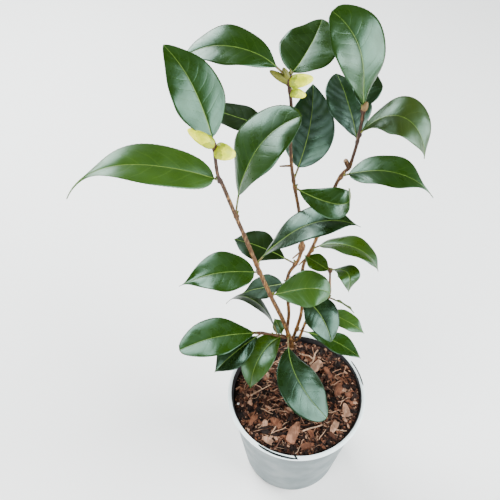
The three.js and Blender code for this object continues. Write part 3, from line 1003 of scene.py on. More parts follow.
class BitHeap:
    """Gathers many loose bits as arrays, and joins them into one mesh."""

    def __init__(self, name: str) -> None:
        """Starts an empty heap."""
        self.piece = Piece(name)
        self.points: list[np.ndarray] = []
        self.faces: list[list[int]] = []
        self.slots: list[int] = []
        self.total = 0

    def add(self, shape: Shape, turn: Matrix, spot: Vector, tone: BitTone) -> None:
        """Lays one copy of a shape, turned and scaled by a matrix, at a spot."""
        points, faces = shape
        self.points.append(points @ np.array(turn.transposed()) + np.array(spot))
        self.faces.extend([[index + self.total for index in face] for face in faces])
        self.slots.extend([self.piece.slot(tone.value)] * len(faces))
        self.total += len(points)

    def close(self) -> None:
        """Joins what was laid into one finished piece."""
        data = bpy.data.meshes.new(self.piece.name)
        data.from_pydata((np.concatenate(self.points) * MM).tolist(), [], self.faces)
        data.polygons.foreach_set("material_index", self.slots)
        data.update()
        self.piece.mesh.free()
        self.piece.dress(put(self.piece.name, data), [], "compost")


@dataclass(frozen=True)
class LooseBits:
    """The chips, crumbs and fibres that lie on the compost."""

    seed: int = 11
    chips: StrewnBits = StrewnBits(
        2300, (2.4, 5.6), (0.32, 0.7), (0.14, 0.34), (0.42, 0.24, 0.23, 0.11), 42.0
    )
    large_chips: StrewnBits = StrewnBits(
        170, (5.0, 9.5), (0.30, 0.62), (0.14, 0.28), (0.24, 0.28, 0.32, 0.16), 30.0, 0.8
    )
    crumbs: StrewnBits = StrewnBits(
        2600, (1.2, 3.0), (0.6, 1.0), (0.4, 0.9), (0.45, 0.24, 0.19, 0.12), 90.0, 0.4
    )
    slivers: StrewnBits = StrewnBits(
        430, (5.0, 14.0), (0.05, 0.10), (0.05, 0.10), (0.3, 0.0, 0.35, 0.2, 0.15), 16.0, 3.0
    )
    laid: tuple[LaidBit, ...] = (
        LaidBit((-3.7, -37.1), 66.0, (21.0, 10.5, 3.0), BitTone.TAN, 14.0, 3.0),
        LaidBit((18.2, -32.4), 21.0, (29.0, 1.7, 1.7), BitTone.TWIG, 2.0, 4.0),
        LaidBit((-33.1, 5.3), 28.0, (22.0, 1.3, 1.3), BitTone.TWIG, 2.0, 3.0),
        LaidBit((-55.0, -8.1), 10.0, (2.4, 2.2, 1.8), BitTone.GRAIN, 4.0, 1.5),
        LaidBit((9.0, 42.0), 152.0, (19.0, 1.6, 1.6), BitTone.TWIG, 5.0, 4.5),
        LaidBit((19.0, 40.0), 60.0, (17.0, 1.8, 1.8), BitTone.TWIG, 8.0, 4.0),
        LaidBit((-11.0, 38.0), 20.0, (15.0, 1.5, 1.5), BitTone.TWIG, 6.0, 4.0),
        LaidBit((4.0, 33.0), 100.0, (12.0, 1.6, 1.6), BitTone.TWIG, 8.0, 4.0),
        LaidBit((41.0, 6.0), 70.0, (17.0, 7.0, 2.4), BitTone.RED, 16.0, 2.5),
        LaidBit((46.0, -17.0), 100.0, (13.0, 7.0, 2.2), BitTone.PINK, 12.0, 2.5),
        LaidBit((20.0, 30.0), 40.0, (15.0, 9.0, 2.6), BitTone.PINK, 10.0, 3.0),
        LaidBit((33.0, 22.0), 120.0, (14.0, 6.0, 2.2), BitTone.RED, 14.0, 2.5),
        LaidBit((-20.0, -26.0), 130.0, (13.0, 7.0, 2.4), BitTone.RED, 12.0, 2.5),
        LaidBit((-41.0, -24.0), 60.0, (12.0, 6.0, 2.2), BitTone.RED, 14.0, 2.0),
        LaidBit((8.0, -50.0), 10.0, (12.0, 7.0, 2.2), BitTone.RED, 12.0, 2.0),
        LaidBit((-28.0, -44.0), 150.0, (11.0, 6.0, 2.0), BitTone.PINK, 12.0, 2.0),
        LaidBit((34.0, -33.0), 60.0, (12.0, 6.0, 2.2), BitTone.PINK, 12.0, 2.0),
    )

    def spot(self, chance: random.Random, margin: float) -> Pair:
        """Picks a place on the compost, a margin clear of the wall."""
        share = math.sqrt(chance.random())
        turn = chance.random() * math.tau
        reach = (COMPOST.edge(turn) + CLEAR - margin) * share
        return reach * math.cos(turn), reach * math.sin(turn)

    def strew(self, heap: BitHeap, shapes: Sequence[Shape], kind: StrewnBits, chance: random.Random) -> None:
        """Strews one kind of bit over the compost.

        Args:
            heap: gathers the bits.
            shapes: the shapes that are repeated.
            kind: how many and how large they are.
            chance: gives the random draws.
        """
        tones = list(BitTone)[: len(kind.weights)]
        for _ in range(kind.count):
            size = mix(*kind.size, chance.random() ** 1.6)
            wide = size * mix(*kind.slim, chance.random())
            deep = size * mix(*kind.flat, chance.random())
            x, y = self.spot(chance, size * 0.55 + 0.3)
            turn = Quaternion(UP, chance.random() * math.tau)
            over = direction(chance.random() * 360, 0)
            lean = Quaternion(over, math.radians(chance.uniform(-1, 1) * kind.tilt))
            matrix = (lean @ turn).to_matrix() @ Matrix.Diagonal((size, wide, deep))
            z = COMPOST.ground(x, y) + deep * kind.lift
            heap.add(chance.choice(shapes), matrix, Vector((x, y, z)), chance.choices(tones, kind.weights)[0])

    def lay(self, heap: BitHeap, shapes: BitShapes, bit: LaidBit, order: int) -> None:
        """Lays a bit that has its own place; its order in the table picks its shape."""
        turn = Quaternion(UP, math.radians(bit.turn))
        lean = Quaternion(direction(bit.turn + 60 * order, 0), math.radians(bit.tilt))
        kinds = shapes.slivers if bit.size[1] < 0.2 * bit.size[0] else shapes.chips
        spot = Vector((*bit.spot, COMPOST.ground(*bit.spot) + bit.lift))
        matrix = (lean @ turn).to_matrix() @ Matrix.Diagonal(bit.size)
        heap.add(kinds[order % len(kinds)], matrix, spot, bit.tone)

    def build(self) -> None:
        """Builds the chips, the crumbs and the fibres, each kind its own piece."""
        # Blender's noise vectors take their offsets from the clock unless they are seeded
        noise.seed_set(self.seed)
        chance = random.Random(self.seed)
        shapes = BitShapes()
        chips, crumbs, fibres = (BitHeap(name) for name in ("bark_chips", "bark_crumbs", "bark_fibres"))
        self.strew(chips, shapes.chips, self.chips, chance)
        self.strew(chips, shapes.chips, self.large_chips, chance)
        for order, bit in enumerate(self.laid):
            self.lay(chips, shapes, bit, order)
        self.strew(crumbs, shapes.crumbs, self.crumbs, chance)
        self.strew(fibres, shapes.slivers, self.slivers, chance)
        for heap in (chips, crumbs, fibres):
            heap.close()


# Limbs


@dataclass(frozen=True)
class Swelling:
    """A knob on a limb: its height, how much it adds, how far it reaches, and the side where it stands."""

    height: float
    extra: float
    width: float
    heading: float | None = None


@dataclass(frozen=True)
class LimbSkin:
    """Builds a limb's skin, with bark relief and a knob at every joint.

    Attributes:
        limb: the limb.
        knobs: its swellings.
        sides: faces round it.
        step: length of its faces.
        root_steps: rows of faces from the root to the foot.
        cap_steps: rows of faces over the tip.
        ridge: height of the lengthwise ridges.
        pock: height of the fine unevenness.
        flare_height: how far up the foot's flare reaches.
    """

    limb: Limb
    knobs: tuple[Swelling, ...] = ()
    sides: int = 22
    step: float = 0.9
    root_steps: int = 5
    cap_steps: int = 4
    ridge: float = 0.15
    pock: float = 0.08
    flare_height: float = 9.0

    def reach(self, outward: Vector, place: Vector, t: float) -> float:
        """Gives the skin's distance from the middle line.

        Args:
            outward: the direction away from the line.
            place: the point on the line.
            t: its parameter.

        Returns:
            The distance.
        """
        drop = max(0.0, 1 - (place.z - self.limb.curve.at(0.0).z) / self.flare_height)
        reach = self.limb.thick(t) + self.limb.flare * drop**2
        reach += self.ridge * noise.noise(Vector((outward.x * 1.9, outward.y * 1.9, place.z * 0.11)))
        reach += self.pock * noise.noise(place * 1.1 + outward)
        for knob in self.knobs:
            near = math.exp(-(((place.z - knob.height) / knob.width) ** 2))
            if near < 0.01:
                continue
            facing = 1.0 if knob.heading is None else max(0.0, outward.dot(direction(knob.heading, 0.0))) ** 3
            reach += knob.extra * near * facing
        return reach

    def build(self, piece: Piece, finish: Finish) -> None:
        """Adds the limb's skin to a piece, rounded at its tip and rooted in its carrier."""
        curve, root = self.limb.curve, self.limb.root
        steps = max(12, round(curve.length() / self.step))
        total = self.root_steps + steps + self.cap_steps
        foot = curve.at(0.0)
        across_all = UP.cross(curve.at(1.0) - foot)
        if across_all.length < 1e-3:
            across_all = Vector((1.0, 0.0, 0.0))

        def place(around: float, along: float) -> Vector:
            """Gives a point of the skin."""
            row = along * total
            turn = around * math.tau
            if row <= self.root_steps + 1e-6:
                t, share = 0.0, row / self.root_steps
                middle = root.lerp(foot, share)
                shrink = min(1.0, share * 3)
                ahead = (foot - root).normalized() if root != foot else curve.tangent(0.0)
                ahead = ahead.lerp(curve.tangent(0.0), share).normalized()
            else:
                t = min(1.0, (row - self.root_steps) / steps)
                over_end = max(0.0, row - self.root_steps - steps) / self.cap_steps * math.pi / 2
                ahead = curve.tangent(t)
                middle = curve.at(t) + ahead * (self.limb.thick(1.0) * 0.9 * math.sin(over_end))
                shrink = math.cos(over_end)
            if shrink < 1e-6:
                return middle
            across = (across_all - ahead * across_all.dot(ahead)).normalized()
            outward = across * math.cos(turn) + across.cross(ahead) * math.sin(turn)
            return middle + outward * (self.reach(outward, middle, t) * shrink)

        piece.wrap(self.sides, total, place, finish)


# Leaves and buds


@dataclass(frozen=True)
class Leaf:
    """One leaf by the source's rule.

    Attributes:
        height: where on its limb it stands.
        heading: turn of the line from the joint to the leaf's tip.
        rise: that line's angle above the horizon.
        reach: that line's length.
        width: the blade's greatest width.
        stalk: length of the bare stalk.
        lift: turn of the midrib's start above the line.
        drop: turn of its end below the line.
        sway: sideways turn of both.
        bow: how far those turns carry, as a share of the reach.
        roll: turn of the blade about its midrib.
        twist: what is added to the roll along the blade.
        fold: lift of the blade's halves to a V.
        curl: turn-down of its edges.
        widest: where along it is widest.
        point: how far its tip is drawn out.
        tone: its base colour.
        wave: height of the waves along its margin.
    """

    height: float
    heading: float
    rise: float
    reach: float
    width: float = 34.0
    stalk: float = 7.0
    lift: float = 15.0
    drop: float = 20.0
    sway: float = 0.0
    bow: float = 0.4
    roll: float = 0.0
    twist: float = 0.0
    fold: float = 12.0
    curl: float = 0.12
    widest: float = 0.5
    point: float = 0.5
    tone: LeafTone = LeafTone.MIDDLE
    wave: float = 0.7

    def half_width(self, share: float) -> float:
        """Gives the blade's half width at a share of its length."""
        if not 0 < share < 1:
            return 0.0
        skew = math.log(0.5) / math.log(self.widest)
        return self.width / 2 * math.sin(math.pi * share**skew) ** (0.74 + self.point * share**3)

    def midrib(self, start: Vector, tip: Vector) -> Midrib:
        """Gives the leaf's middle line between two points."""
        chord = tip - start
        span = chord.length * self.bow
        heading = math.degrees(math.atan2(chord.y, chord.x))
        rise = math.degrees(math.asin(chord.z / chord.length))
        away = direction(heading + self.sway, rise + self.lift)
        inward = direction(heading - self.sway, rise - self.drop)
        return Midrib(start, start + away * span, tip - inward * span, tip)


@dataclass(frozen=True)
class LeafSkin:
    """Builds a leaf: a round stalk that opens into a thin blade with veins, waves and small teeth.

    Attributes:
        leaf: the leaf's numbers.
        root: the point inside the limb from which its stalk grows.
        line: its middle line.
        seed: picks the leaf's own waves and unevenness.
        columns: faces on each side of the midrib.
        stalk_rows: rows of faces on the stalk.
        blade_rows: rows of faces on the blade.
        stalk_half: half the stalk's breadth, and stalk_round half its depth.
        tip_half: half the blade's breadth at its very tip.
        blade_half: half the blade's thickness.
        rib: half the midrib's breadth at its start and its end.
        rib_depth: how far it stands out below.
        groove: how deep it lies above.
        quilt: height of the pillows between the veins.
        tooth: size of the margin's teeth.
        unevenness: height of the blade's slow swells.
    """

    leaf: Leaf
    root: Vector
    line: Midrib
    seed: int
    columns: int = 13
    stalk_rows: int = 6
    blade_rows: int = 72
    stalk_half: float = 0.8
    stalk_round: float = 0.72
    tip_half: float = 0.14
    blade_half: float = 0.27
    rib: Pair = (0.38, 0.12)
    rib_depth: Pair = (0.62, 0.12)
    groove: float = 0.14
    quilt: float = 0.06
    tooth: float = 0.22
    unevenness: float = 0.7

    @cached_property
    def side(self) -> Vector:
        """Gives the level direction to the leaf's right."""
        start, tip = self.line.start, self.line.tip
        return Vector((tip.y - start.y, start.x - tip.x, 0.0)).normalized()

    def build(self, piece: Piece) -> None:
        """Adds the leaf to a piece."""
        rows = self.stalk_rows + self.blade_rows
        verts, faces = piece.slab(self.columns * 2, rows)
        self.mark(piece, faces, rows)
        for vert in verts:
            column = round(vert.co.x * self.columns)
            row = round((vert.co.y + 1) / 2 * rows)
            vert.co = self.point(column, row, vert.co.z > -0.5)
        bmesh.ops.recalc_face_normals(piece.mesh, faces=faces)

    def mark(self, piece: Piece, faces: Sequence[BMFace], rows: int) -> None:
        """Gives the flat slab's faces their materials and their places on the blade's own map."""
        layer = piece.mesh.loops.layers.uv.get("blade") or piece.mesh.loops.layers.uv.new("blade")
        finishes = (self.leaf.tone.value, LEAF_BACK, LEAF_RIB, LEAF_RIB_BACK, LEAF_STALK)
        upper, under, rib, rib_under, stalk = (piece.slot(finish) for finish in finishes)
        for face in faces:
            face.smooth = True
            middle = face.calc_center_median()
            above = middle.z > -0.9
            if (middle.y + 1) / 2 * rows < self.stalk_rows:
                face.material_index = stalk
            elif abs(middle.x) * self.columns < 1:
                face.material_index = rib if above else rib_under
            else:
                face.material_index = upper if above else under
            for loop in face.loops:
                along = ((loop.vert.co.y + 1) / 2 * rows - self.stalk_rows) / self.blade_rows
                loop[layer].uv = (loop.vert.co.x / 2 + 0.5, max(0.0, along))

    def lateral(self, column: int, half: float, share: float) -> float:
        """Gives how far a column of the blade lies from the midrib's middle."""
        rib = min(mix(*self.rib, share), half * 0.5)
        out = abs(column)
        wide = rib * out if out <= 1 else mix(rib, half, (out - 1) / (self.columns - 1))
        return wide if column > 0 else -wide

    def point(self, column: int, row: int, above: bool) -> Vector:
        """Gives the place of one point of the leaf's skin.

        Args:
            column: steps from the midrib, to the right where positive.
            row: steps from the root.
            above: True for the upper face.

        Returns:
            The point, in millimetres.
        """
        leaf, line = self.leaf, self.line
        on_stalk = row <= self.stalk_rows
        bare = leaf.stalk / (line.tip - line.start).length
        share = max(0, row - self.stalk_rows) / self.blade_rows
        t = bare * max(0, row - 1) / (self.stalk_rows - 1) if on_stalk else bare + (1 - bare) * share
        ahead = line.tangent(t)
        across = (self.side - ahead * self.side.dot(ahead)).normalized()
        across = Quaternion(ahead, -math.radians(leaf.roll + leaf.twist * (share - 0.5))) @ across
        half = max(leaf.half_width(share), mix(self.stalk_half, self.tip_half, share))
        out = abs(column) / self.columns
        wide = half * column / self.columns if on_stalk else self.lateral(column, half, share)
        if out == 1 and 0.06 < share < 0.97:
            wide += math.copysign(self.tooth * (row % 2) * min(1.0, half * 4 / leaf.width), wide)
        near = abs(wide) / half
        roundness = 1.0 if on_stalk else max(0.0, 1 - share / 0.035) ** 2
        blade = self.blade_half * (1 - 0.45 * near**4)
        deep = mix(blade, self.stalk_round * math.sqrt(max(0.0, 1 - out * out)), roundness)
        rib = max(0.0, 1 - abs(column) / 2) * (1 - roundness)
        body = 0.5 if on_stalk else min(1.0, (1 + 8 * share) / 2)
        raised = half * (math.sin(math.radians(leaf.fold)) * near - leaf.curl * near * near) * body
        raised += self.shape(wide / half, share) * (1 - roundness)
        raised += deep - self.groove * rib if above else -(deep + mix(*self.rib_depth, share) * rib)
        wide *= math.cos(math.radians(leaf.fold))
        place = line.at(t) if row else self.root
        return place + across * wide + across.cross(ahead) * raised

    def shape(self, across: float, share: float) -> float:
        """Gives the blade's own relief: quilting between the veins, margin waves and unevenness.

        Args:
            across: the place across the blade, from -1 to 1.
            share: the place along it, from 0 to 1.

        Returns:
            The height.
        """
        out = abs(across)
        ends = min(1.0, share * 8) * min(1.0, (1 - share) * 6)
        pillow = 0.5 - 0.5 * math.cos(math.tau * VEINS.phase(across, share))
        quilt = self.quilt * (pillow - 0.5) * (1 - out**6) * min(1.0, out * 6) * ends
        side = 1.0 if across > 0 else 2.3
        swing = math.sin(math.tau * (share * 2.4 + side * 0.37 + self.seed * 0.31))
        wave = self.leaf.wave * swing * out**2.5 * ends
        spot = Vector((across * 1.3, share * 3.2, self.seed * 4.7))
        return quilt + wave + self.unevenness * noise.noise(spot) * ends * self.leaf.width / 34


@dataclass(frozen=True)
class Bud:
    """One bud by the source's rule: where it stands, how it points, its length and its width."""

    height: float
    heading: float
    rise: float
    length: float
    width: float
    finish: Finish = BUD_SCALE


@dataclass(frozen=True)
class Whorl:
    """A ring of bud scales: where on the bud they start and end, as shares, and their finish."""

    low: float
    high: float
    finish: Finish


@dataclass(frozen=True)
class BudSkin:
    """Builds a bud: a pointed core wrapped in overlapping scales, from the outermost whorl inwards.

    Attributes:
        bud: the bud's numbers.
        root: the point inside the twig from which it grows.
        seed: turns the scales about the bud.
    """

    bud: Bud
    root: Vector
    seed: int = 0
    sides: int = 20
    rings: int = 18
    scale_rows: int = 9
    scale_columns: int = 8
    to_a_whorl: int = 3
    layer: float = 0.065
    whorls: tuple[Whorl, ...] = (
        Whorl(0.06, 0.52, BUD_OUTER), Whorl(0.16, 0.78, BUD_MIDDLE), Whorl(0.30, 0.96, BUD_SCALE)
    )

    @cached_property
    def turn(self) -> Quaternion:
        """Gives the turn from upright to the bud's own direction."""
        return UP.rotation_difference(direction(self.bud.heading, self.bud.rise))

    def skin(self, around: float, along: float, lift: float = 0.0) -> Vector:
        """Gives a point over the core.

        Args:
            around: share of a turn round the bud.
            along: share of the way from its foot to its tip.
            lift: height over the core.

        Returns:
            The point, in millimetres.
        """
        angle = around * math.tau
        slant = (along - 0.5) * math.pi
        level = math.sin(slant) * 0.5 + 0.5
        out = self.bud.width / 2 * math.cos(slant) ** 0.85 * (1 - 0.35 * level) * 0.95 + lift
        local = Vector((out * math.cos(angle), out * math.sin(angle), level * self.bud.length))
        return self.root + self.turn @ local

    def core(self, piece: Piece) -> None:
        """Adds the bud's core to a piece."""
        piece.wrap(self.sides, self.rings, self.skin, self.bud.finish)

    def build(self, piece: Piece) -> None:
        """Adds the bud with its scales to a piece."""
        self.core(piece)
        for order, whorl in enumerate(self.whorls):
            finish = whorl.finish if self.bud.finish is BUD_SCALE else self.bud.finish
            for i in range(self.to_a_whorl):
                middle = (i + order * 0.5 + self.seed * 0.17) / self.to_a_whorl
                self.scale(piece, whorl, middle, (3 - order) * self.layer * self.bud.width * 0.5, finish)

    def scale(self, piece: Piece, whorl: Whorl, middle: float, swell: float, finish: Finish) -> None:
        """Adds one scale, a thin pointed shield that lies on the core.

        Args:
            piece: the piece that gathers the buds.
            whorl: the ring that the scale belongs to.
            middle: the scale's place round the bud, as a share of a turn.
            swell: how far its middle stands off the core.
            finish: what it is made of.
        """
        verts, faces = piece.slab(self.scale_columns, self.scale_rows)
        for vert in verts:
            share = (vert.co.y + 1) / 2
            spread = 0.23 * math.sin(math.pi * min(1.0, 0.28 + share * 0.72)) ** 0.7 + 0.004
            raised = swell * math.sin(math.pi * min(1.0, share + 0.12)) ** 0.5
            edge = 1 - 0.6 * abs(vert.co.x) ** 3
            lift = raised * edge + (0.12 if vert.co.z > -0.5 else -0.16) * edge
            vert.co = self.skin(middle + vert.co.x * spread, mix(whorl.low, whorl.high, share), lift)
        piece.coat(faces, finish)


# The shrub


@dataclass(frozen=True)
class LimbPlan:
    """A limb's numbers: its carrier, radii and guide points, and the height it leaves at, if not the tip."""

    name: str
    on: str
    radius: Pair
    guide: tuple[Triple, ...]
    height: float | None = None


@dataclass(frozen=True)
class CrownPlan:
    """A crown or spray: its twig, with the leaves and buds on it."""

    twig: LimbPlan
    leaves: tuple[Leaf, ...]
    buds: tuple[Bud, ...] = ()


@dataclass(frozen=True)
class Stub:
    """A short bare stub on a limb: a pruned shoot or a dry leaf stalk.

    Attributes:
        on: the limb's name.
        height: where it stands.
        heading: where it points.
        rise: its angle above the horizon.
        length: how far it stands out.
        radius: its radius at its foot and its end.
        pale: True where its end shows cut wood.
    """

    on: str
    height: float
    heading: float
    rise: float
    length: float
    radius: Pair
    pale: bool = False


STEM_FOOT = Vector((-3.0, 51.0, COMPOST.mound_top + CLEAR))
STEM_SUNK = 4.0
STEM_FLARE = 1.9
STEM_RADIUS = (2.4, 1.35)
STEM_GUIDE = (
    (-3, 51, 133), (-6, 48, 150), (-13, 43, 187), (-25, 37, 234),
    (-36, 33, 278), (-46, 28, 323), (-54, 25, 357), (-62, 22, 392),
)
CENTRE_GUIDE = (
    (-8, 53.5, 156), (-8, 53, 187), (-11, 52, 222), (-11, 52, 249), (-3, 53, 271),
    (-2, 55, 298), (-6, 58, 325), (-13, 60, 365), (-16, 62, 398), (-16, 62, 418),
)
RIGHT_GUIDE = (
    (0, 54.5, 149), (4, 56, 182), (3, 59, 220), (2, 61, 249), (8, 61, 274),
    (14, 62, 305), (20, 64, 344), (25, 65, 359), (29, 65, 365), (30, 65, 372),
)
LOW_RIGHT_GUIDE = ((4, 50, 147), (9, 49, 180), (19, 49, 203), (26, 49, 222), (25, 48, 240), (24, 47.5, 251))
BOUGHS = (
    LimbPlan("centre_bough", "main_stem", (1.7, 1.2), CENTRE_GUIDE, 146),
    LimbPlan("right_bough", "main_stem", (1.7, 1.3), RIGHT_GUIDE, 139),
    LimbPlan("low_right_bough", "main_stem", (1.5, 1.0), LOW_RIGHT_GUIDE, 137),
)

SHADED, DEEP, LIGHT, FRESH = LeafTone.SHADED, LeafTone.DEEP, LeafTone.LIGHT, LeafTone.FRESH

SINGLE_LEAVES: dict[str, dict[str, Leaf]] = {
    "main_stem": {
        "leaf_left_upper": Leaf(
            357, 31, 54, 87, 46, stalk=9, lift=28, drop=28, sway=26, roll=4, widest=0.58, point=-0.25
        ),
        "leaf_left_middle": Leaf(
            291, 3, 28, 88, stalk=5, lift=28, drop=50, sway=16, roll=4, widest=0.57, point=1.0, tone=DEEP
        ),
        "leaf_left_outer": Leaf(
            278, -168, 0, 66, 40, stalk=1.5, lift=14, drop=20, sway=-6, widest=0.38, point=1.2
        ),
        # Its pale tone paints the leaf's sheen
        "leaf_front_middle": Leaf(
            240, 2, 0, 51, 32, stalk=1.5, lift=19, drop=50, roll=-24, fold=5, widest=0.54, point=-0.3,
            tone=LIGHT,
        ),
        "leaf_front_low": Leaf(
            156, -65, -18, 85, 44, stalk=10, lift=24, sway=-32, roll=15, fold=3, widest=0.54, point=-0.2,
            tone=DEEP,
        ),
    },
    "centre_bough": {
        "leaf_centre_back": Leaf(398, 158, 5, 67, 26, lift=5, drop=5, widest=0.56, tone=SHADED),
        "leaf_centre_upright": Leaf(
            357, 74, 48, 71, 38, stalk=6, lift=5, sway=-16, widest=0.43, point=0.1, tone=LeafTone.CLOUDED
        ),
        "leaf_centre_curled": Leaf(
            350, -28, 26, 46, 26, stalk=1.5, lift=-25, drop=-85, sway=-12, bow=0.6, roll=-20, point=0.0
        ),
        "leaf_centre_left": Leaf(263, 160, 10, 56, 32, lift=10, drop=15, widest=0.58, point=0.3, tone=SHADED),
        "leaf_inner_left": Leaf(236, 178, -25, 44, 26, stalk=2, lift=5, drop=10, widest=0.42, tone=SHADED),
        "leaf_right_hanging": Leaf(
            228, -44, -28, 61, 34, stalk=12, lift=8, drop=22, sway=26, point=0.0, tone=DEEP
        ),
        "leaf_back_middle": Leaf(286, 80, -44, 58, 30),
    },
    "right_bough": {
        "leaf_right_upper": Leaf(
            356, -18, 0, 69, 33, stalk=2, lift=32, drop=46, sway=10, widest=0.40, point=2.0
        ),
        "leaf_right_middle": Leaf(
            272, -23, 0, 58, 28, stalk=3, lift=35, drop=60, sway=30, roll=16, widest=0.46, tone=FRESH
        ),
        "leaf_back_low": Leaf(222, 85, -52, 52, 28),
        "leaf_low_right": Leaf(154, -26, -4, 67, 22, lift=5, drop=18, sway=8, widest=0.6),
    },
    "low_right_bough": {
        "leaf_right_edge": Leaf(218, -32, -8, 27, 16, stalk=4, lift=25, drop=30, roll=60, tone=DEEP),
        # Its pale tone paints the leaf's sheen
        "leaf_right_small": Leaf(202, -28, -13, 47, 19, stalk=4, lift=6, drop=24, tone=LIGHT),
    },
}

CROWNS = (
    CrownPlan(
        LimbPlan("left_crown", "main_stem", (1.3, 1.0), ((-65, 20, 405), (-66, 18, 424), (-66, 17, 436))),
        (
            Leaf(
                398, -165, 6, 99, 35, stalk=4, lift=24, drop=66, sway=-10, twist=-40, widest=0.36, point=4.5,
                wave=0.4, tone=LIGHT,
            ),
            Leaf(434, 130, 46, 66, 36, stalk=4, lift=0, drop=15, sway=-14, widest=0.44, point=0.0),
        ),
        (Bud(433, 175, 38, 20, 8.5), Bud(430, 0, -24, 14, 11.5)),
    ),
    CrownPlan(
        LimbPlan(
            "centre_crown", "centre_bough", (1.2, 1.1), ((-17, 62, 430), (-19, 63, 445), (-19, 64, 450))
        ),
        (
            Leaf(447, 173, 10, 68, 35, stalk=10, lift=38, drop=42, sway=-12, roll=8, widest=0.52, point=0.1),
            Leaf(449, 66, 5, 60, 40, stalk=4, lift=0, drop=5, sway=-8, widest=0.42, point=-0.1),
        ),
        (
            Bud(445, 0, 12, 16, 9.5),
            Bud(447, 150, 60, 9, 4.5, BUD_OLIVE),
            Bud(438, 10, -24, 12, 7),
            Bud(445, 172, 32, 15, 5.5, BUD_OLIVE),
        ),
    ),
    CrownPlan(
        LimbPlan(
            "right_crown", "right_bough", (1.3, 1.0),
            ((31, 65.5, 380), (32, 66, 389), (33, 67, 405), (33, 68, 418)),
        ),
        (
            Leaf(390, 106, 25, 54, 38, stalk=3, roll=-16, point=0.0, tone=LeafTone.CLOUDED),
            Leaf(
                397, -27, -3, 48, 37, stalk=1.5, lift=60, drop=72, sway=40, bow=0.68, roll=-6,
                tone=LeafTone.OLIVE,
            ),
            Leaf(410, 78, 20, 40, 21, tone=DEEP),
            Leaf(417, 130, 56, 69, 47, stalk=3, lift=18, drop=36, sway=-22, roll=-2, widest=0.6, point=-0.3),
        ),
        (Bud(417, 40, 70, 7, 4.5, BUD_BROWN),),
    ),
    CrownPlan(
        LimbPlan("low_right_crown", "low_right_bough", (1.0, 0.9), ((23.5, 47, 258), (23, 47, 264))),
        (
            Leaf(260, 146, 8, 26, 18, stalk=1.5, lift=5, drop=5, tone=FRESH, wave=0.3),
            Leaf(262, -52, -14, 24, 20, stalk=1.5, lift=40, drop=70, sway=40, bow=0.8, tone=FRESH, wave=0.3),
        ),
    ),
    CrownPlan(
        LimbPlan(
            "low_left_spray", "main_stem", (1.3, 1.0), ((-18, 46, 157), (-30, 45, 163), (-41, 43, 167)), 150
        ),
        (
            Leaf(165, -166, 0, 77, 42, stalk=4, lift=8, drop=16, sway=-6, widest=0.54, point=-0.25),
            Leaf(164, -143, -15, 58, 30, stalk=5, widest=0.55, tone=DEEP),
            Leaf(153.5, -124, -15.3, 58.6, 32, stalk=3, lift=35, drop=55, sway=-30, fold=22, tone=FRESH),
            Leaf(
                157, 157, 24, 58, 22, stalk=8, lift=55, drop=90, sway=-15, bow=0.7, roll=-30, point=1.5,
                tone=SHADED, wave=0.3,
            ),
            Leaf(154, 125, 45, 20, 13, stalk=3, tone=FRESH, wave=0.3),
        ),
    ),
)

STUBS = (
    Stub("right_bough", 365, 160, 62, 7, (2.0, 1.8), True),
    Stub("centre_bough", 372, 196, 12, 9, (1.0, 0.6)),
    Stub("centre_bough", 279, 205, -35, 9, (0.9, 0.55)),
    Stub("right_bough", 262, 215, -30, 10, (0.9, 0.55)),
)


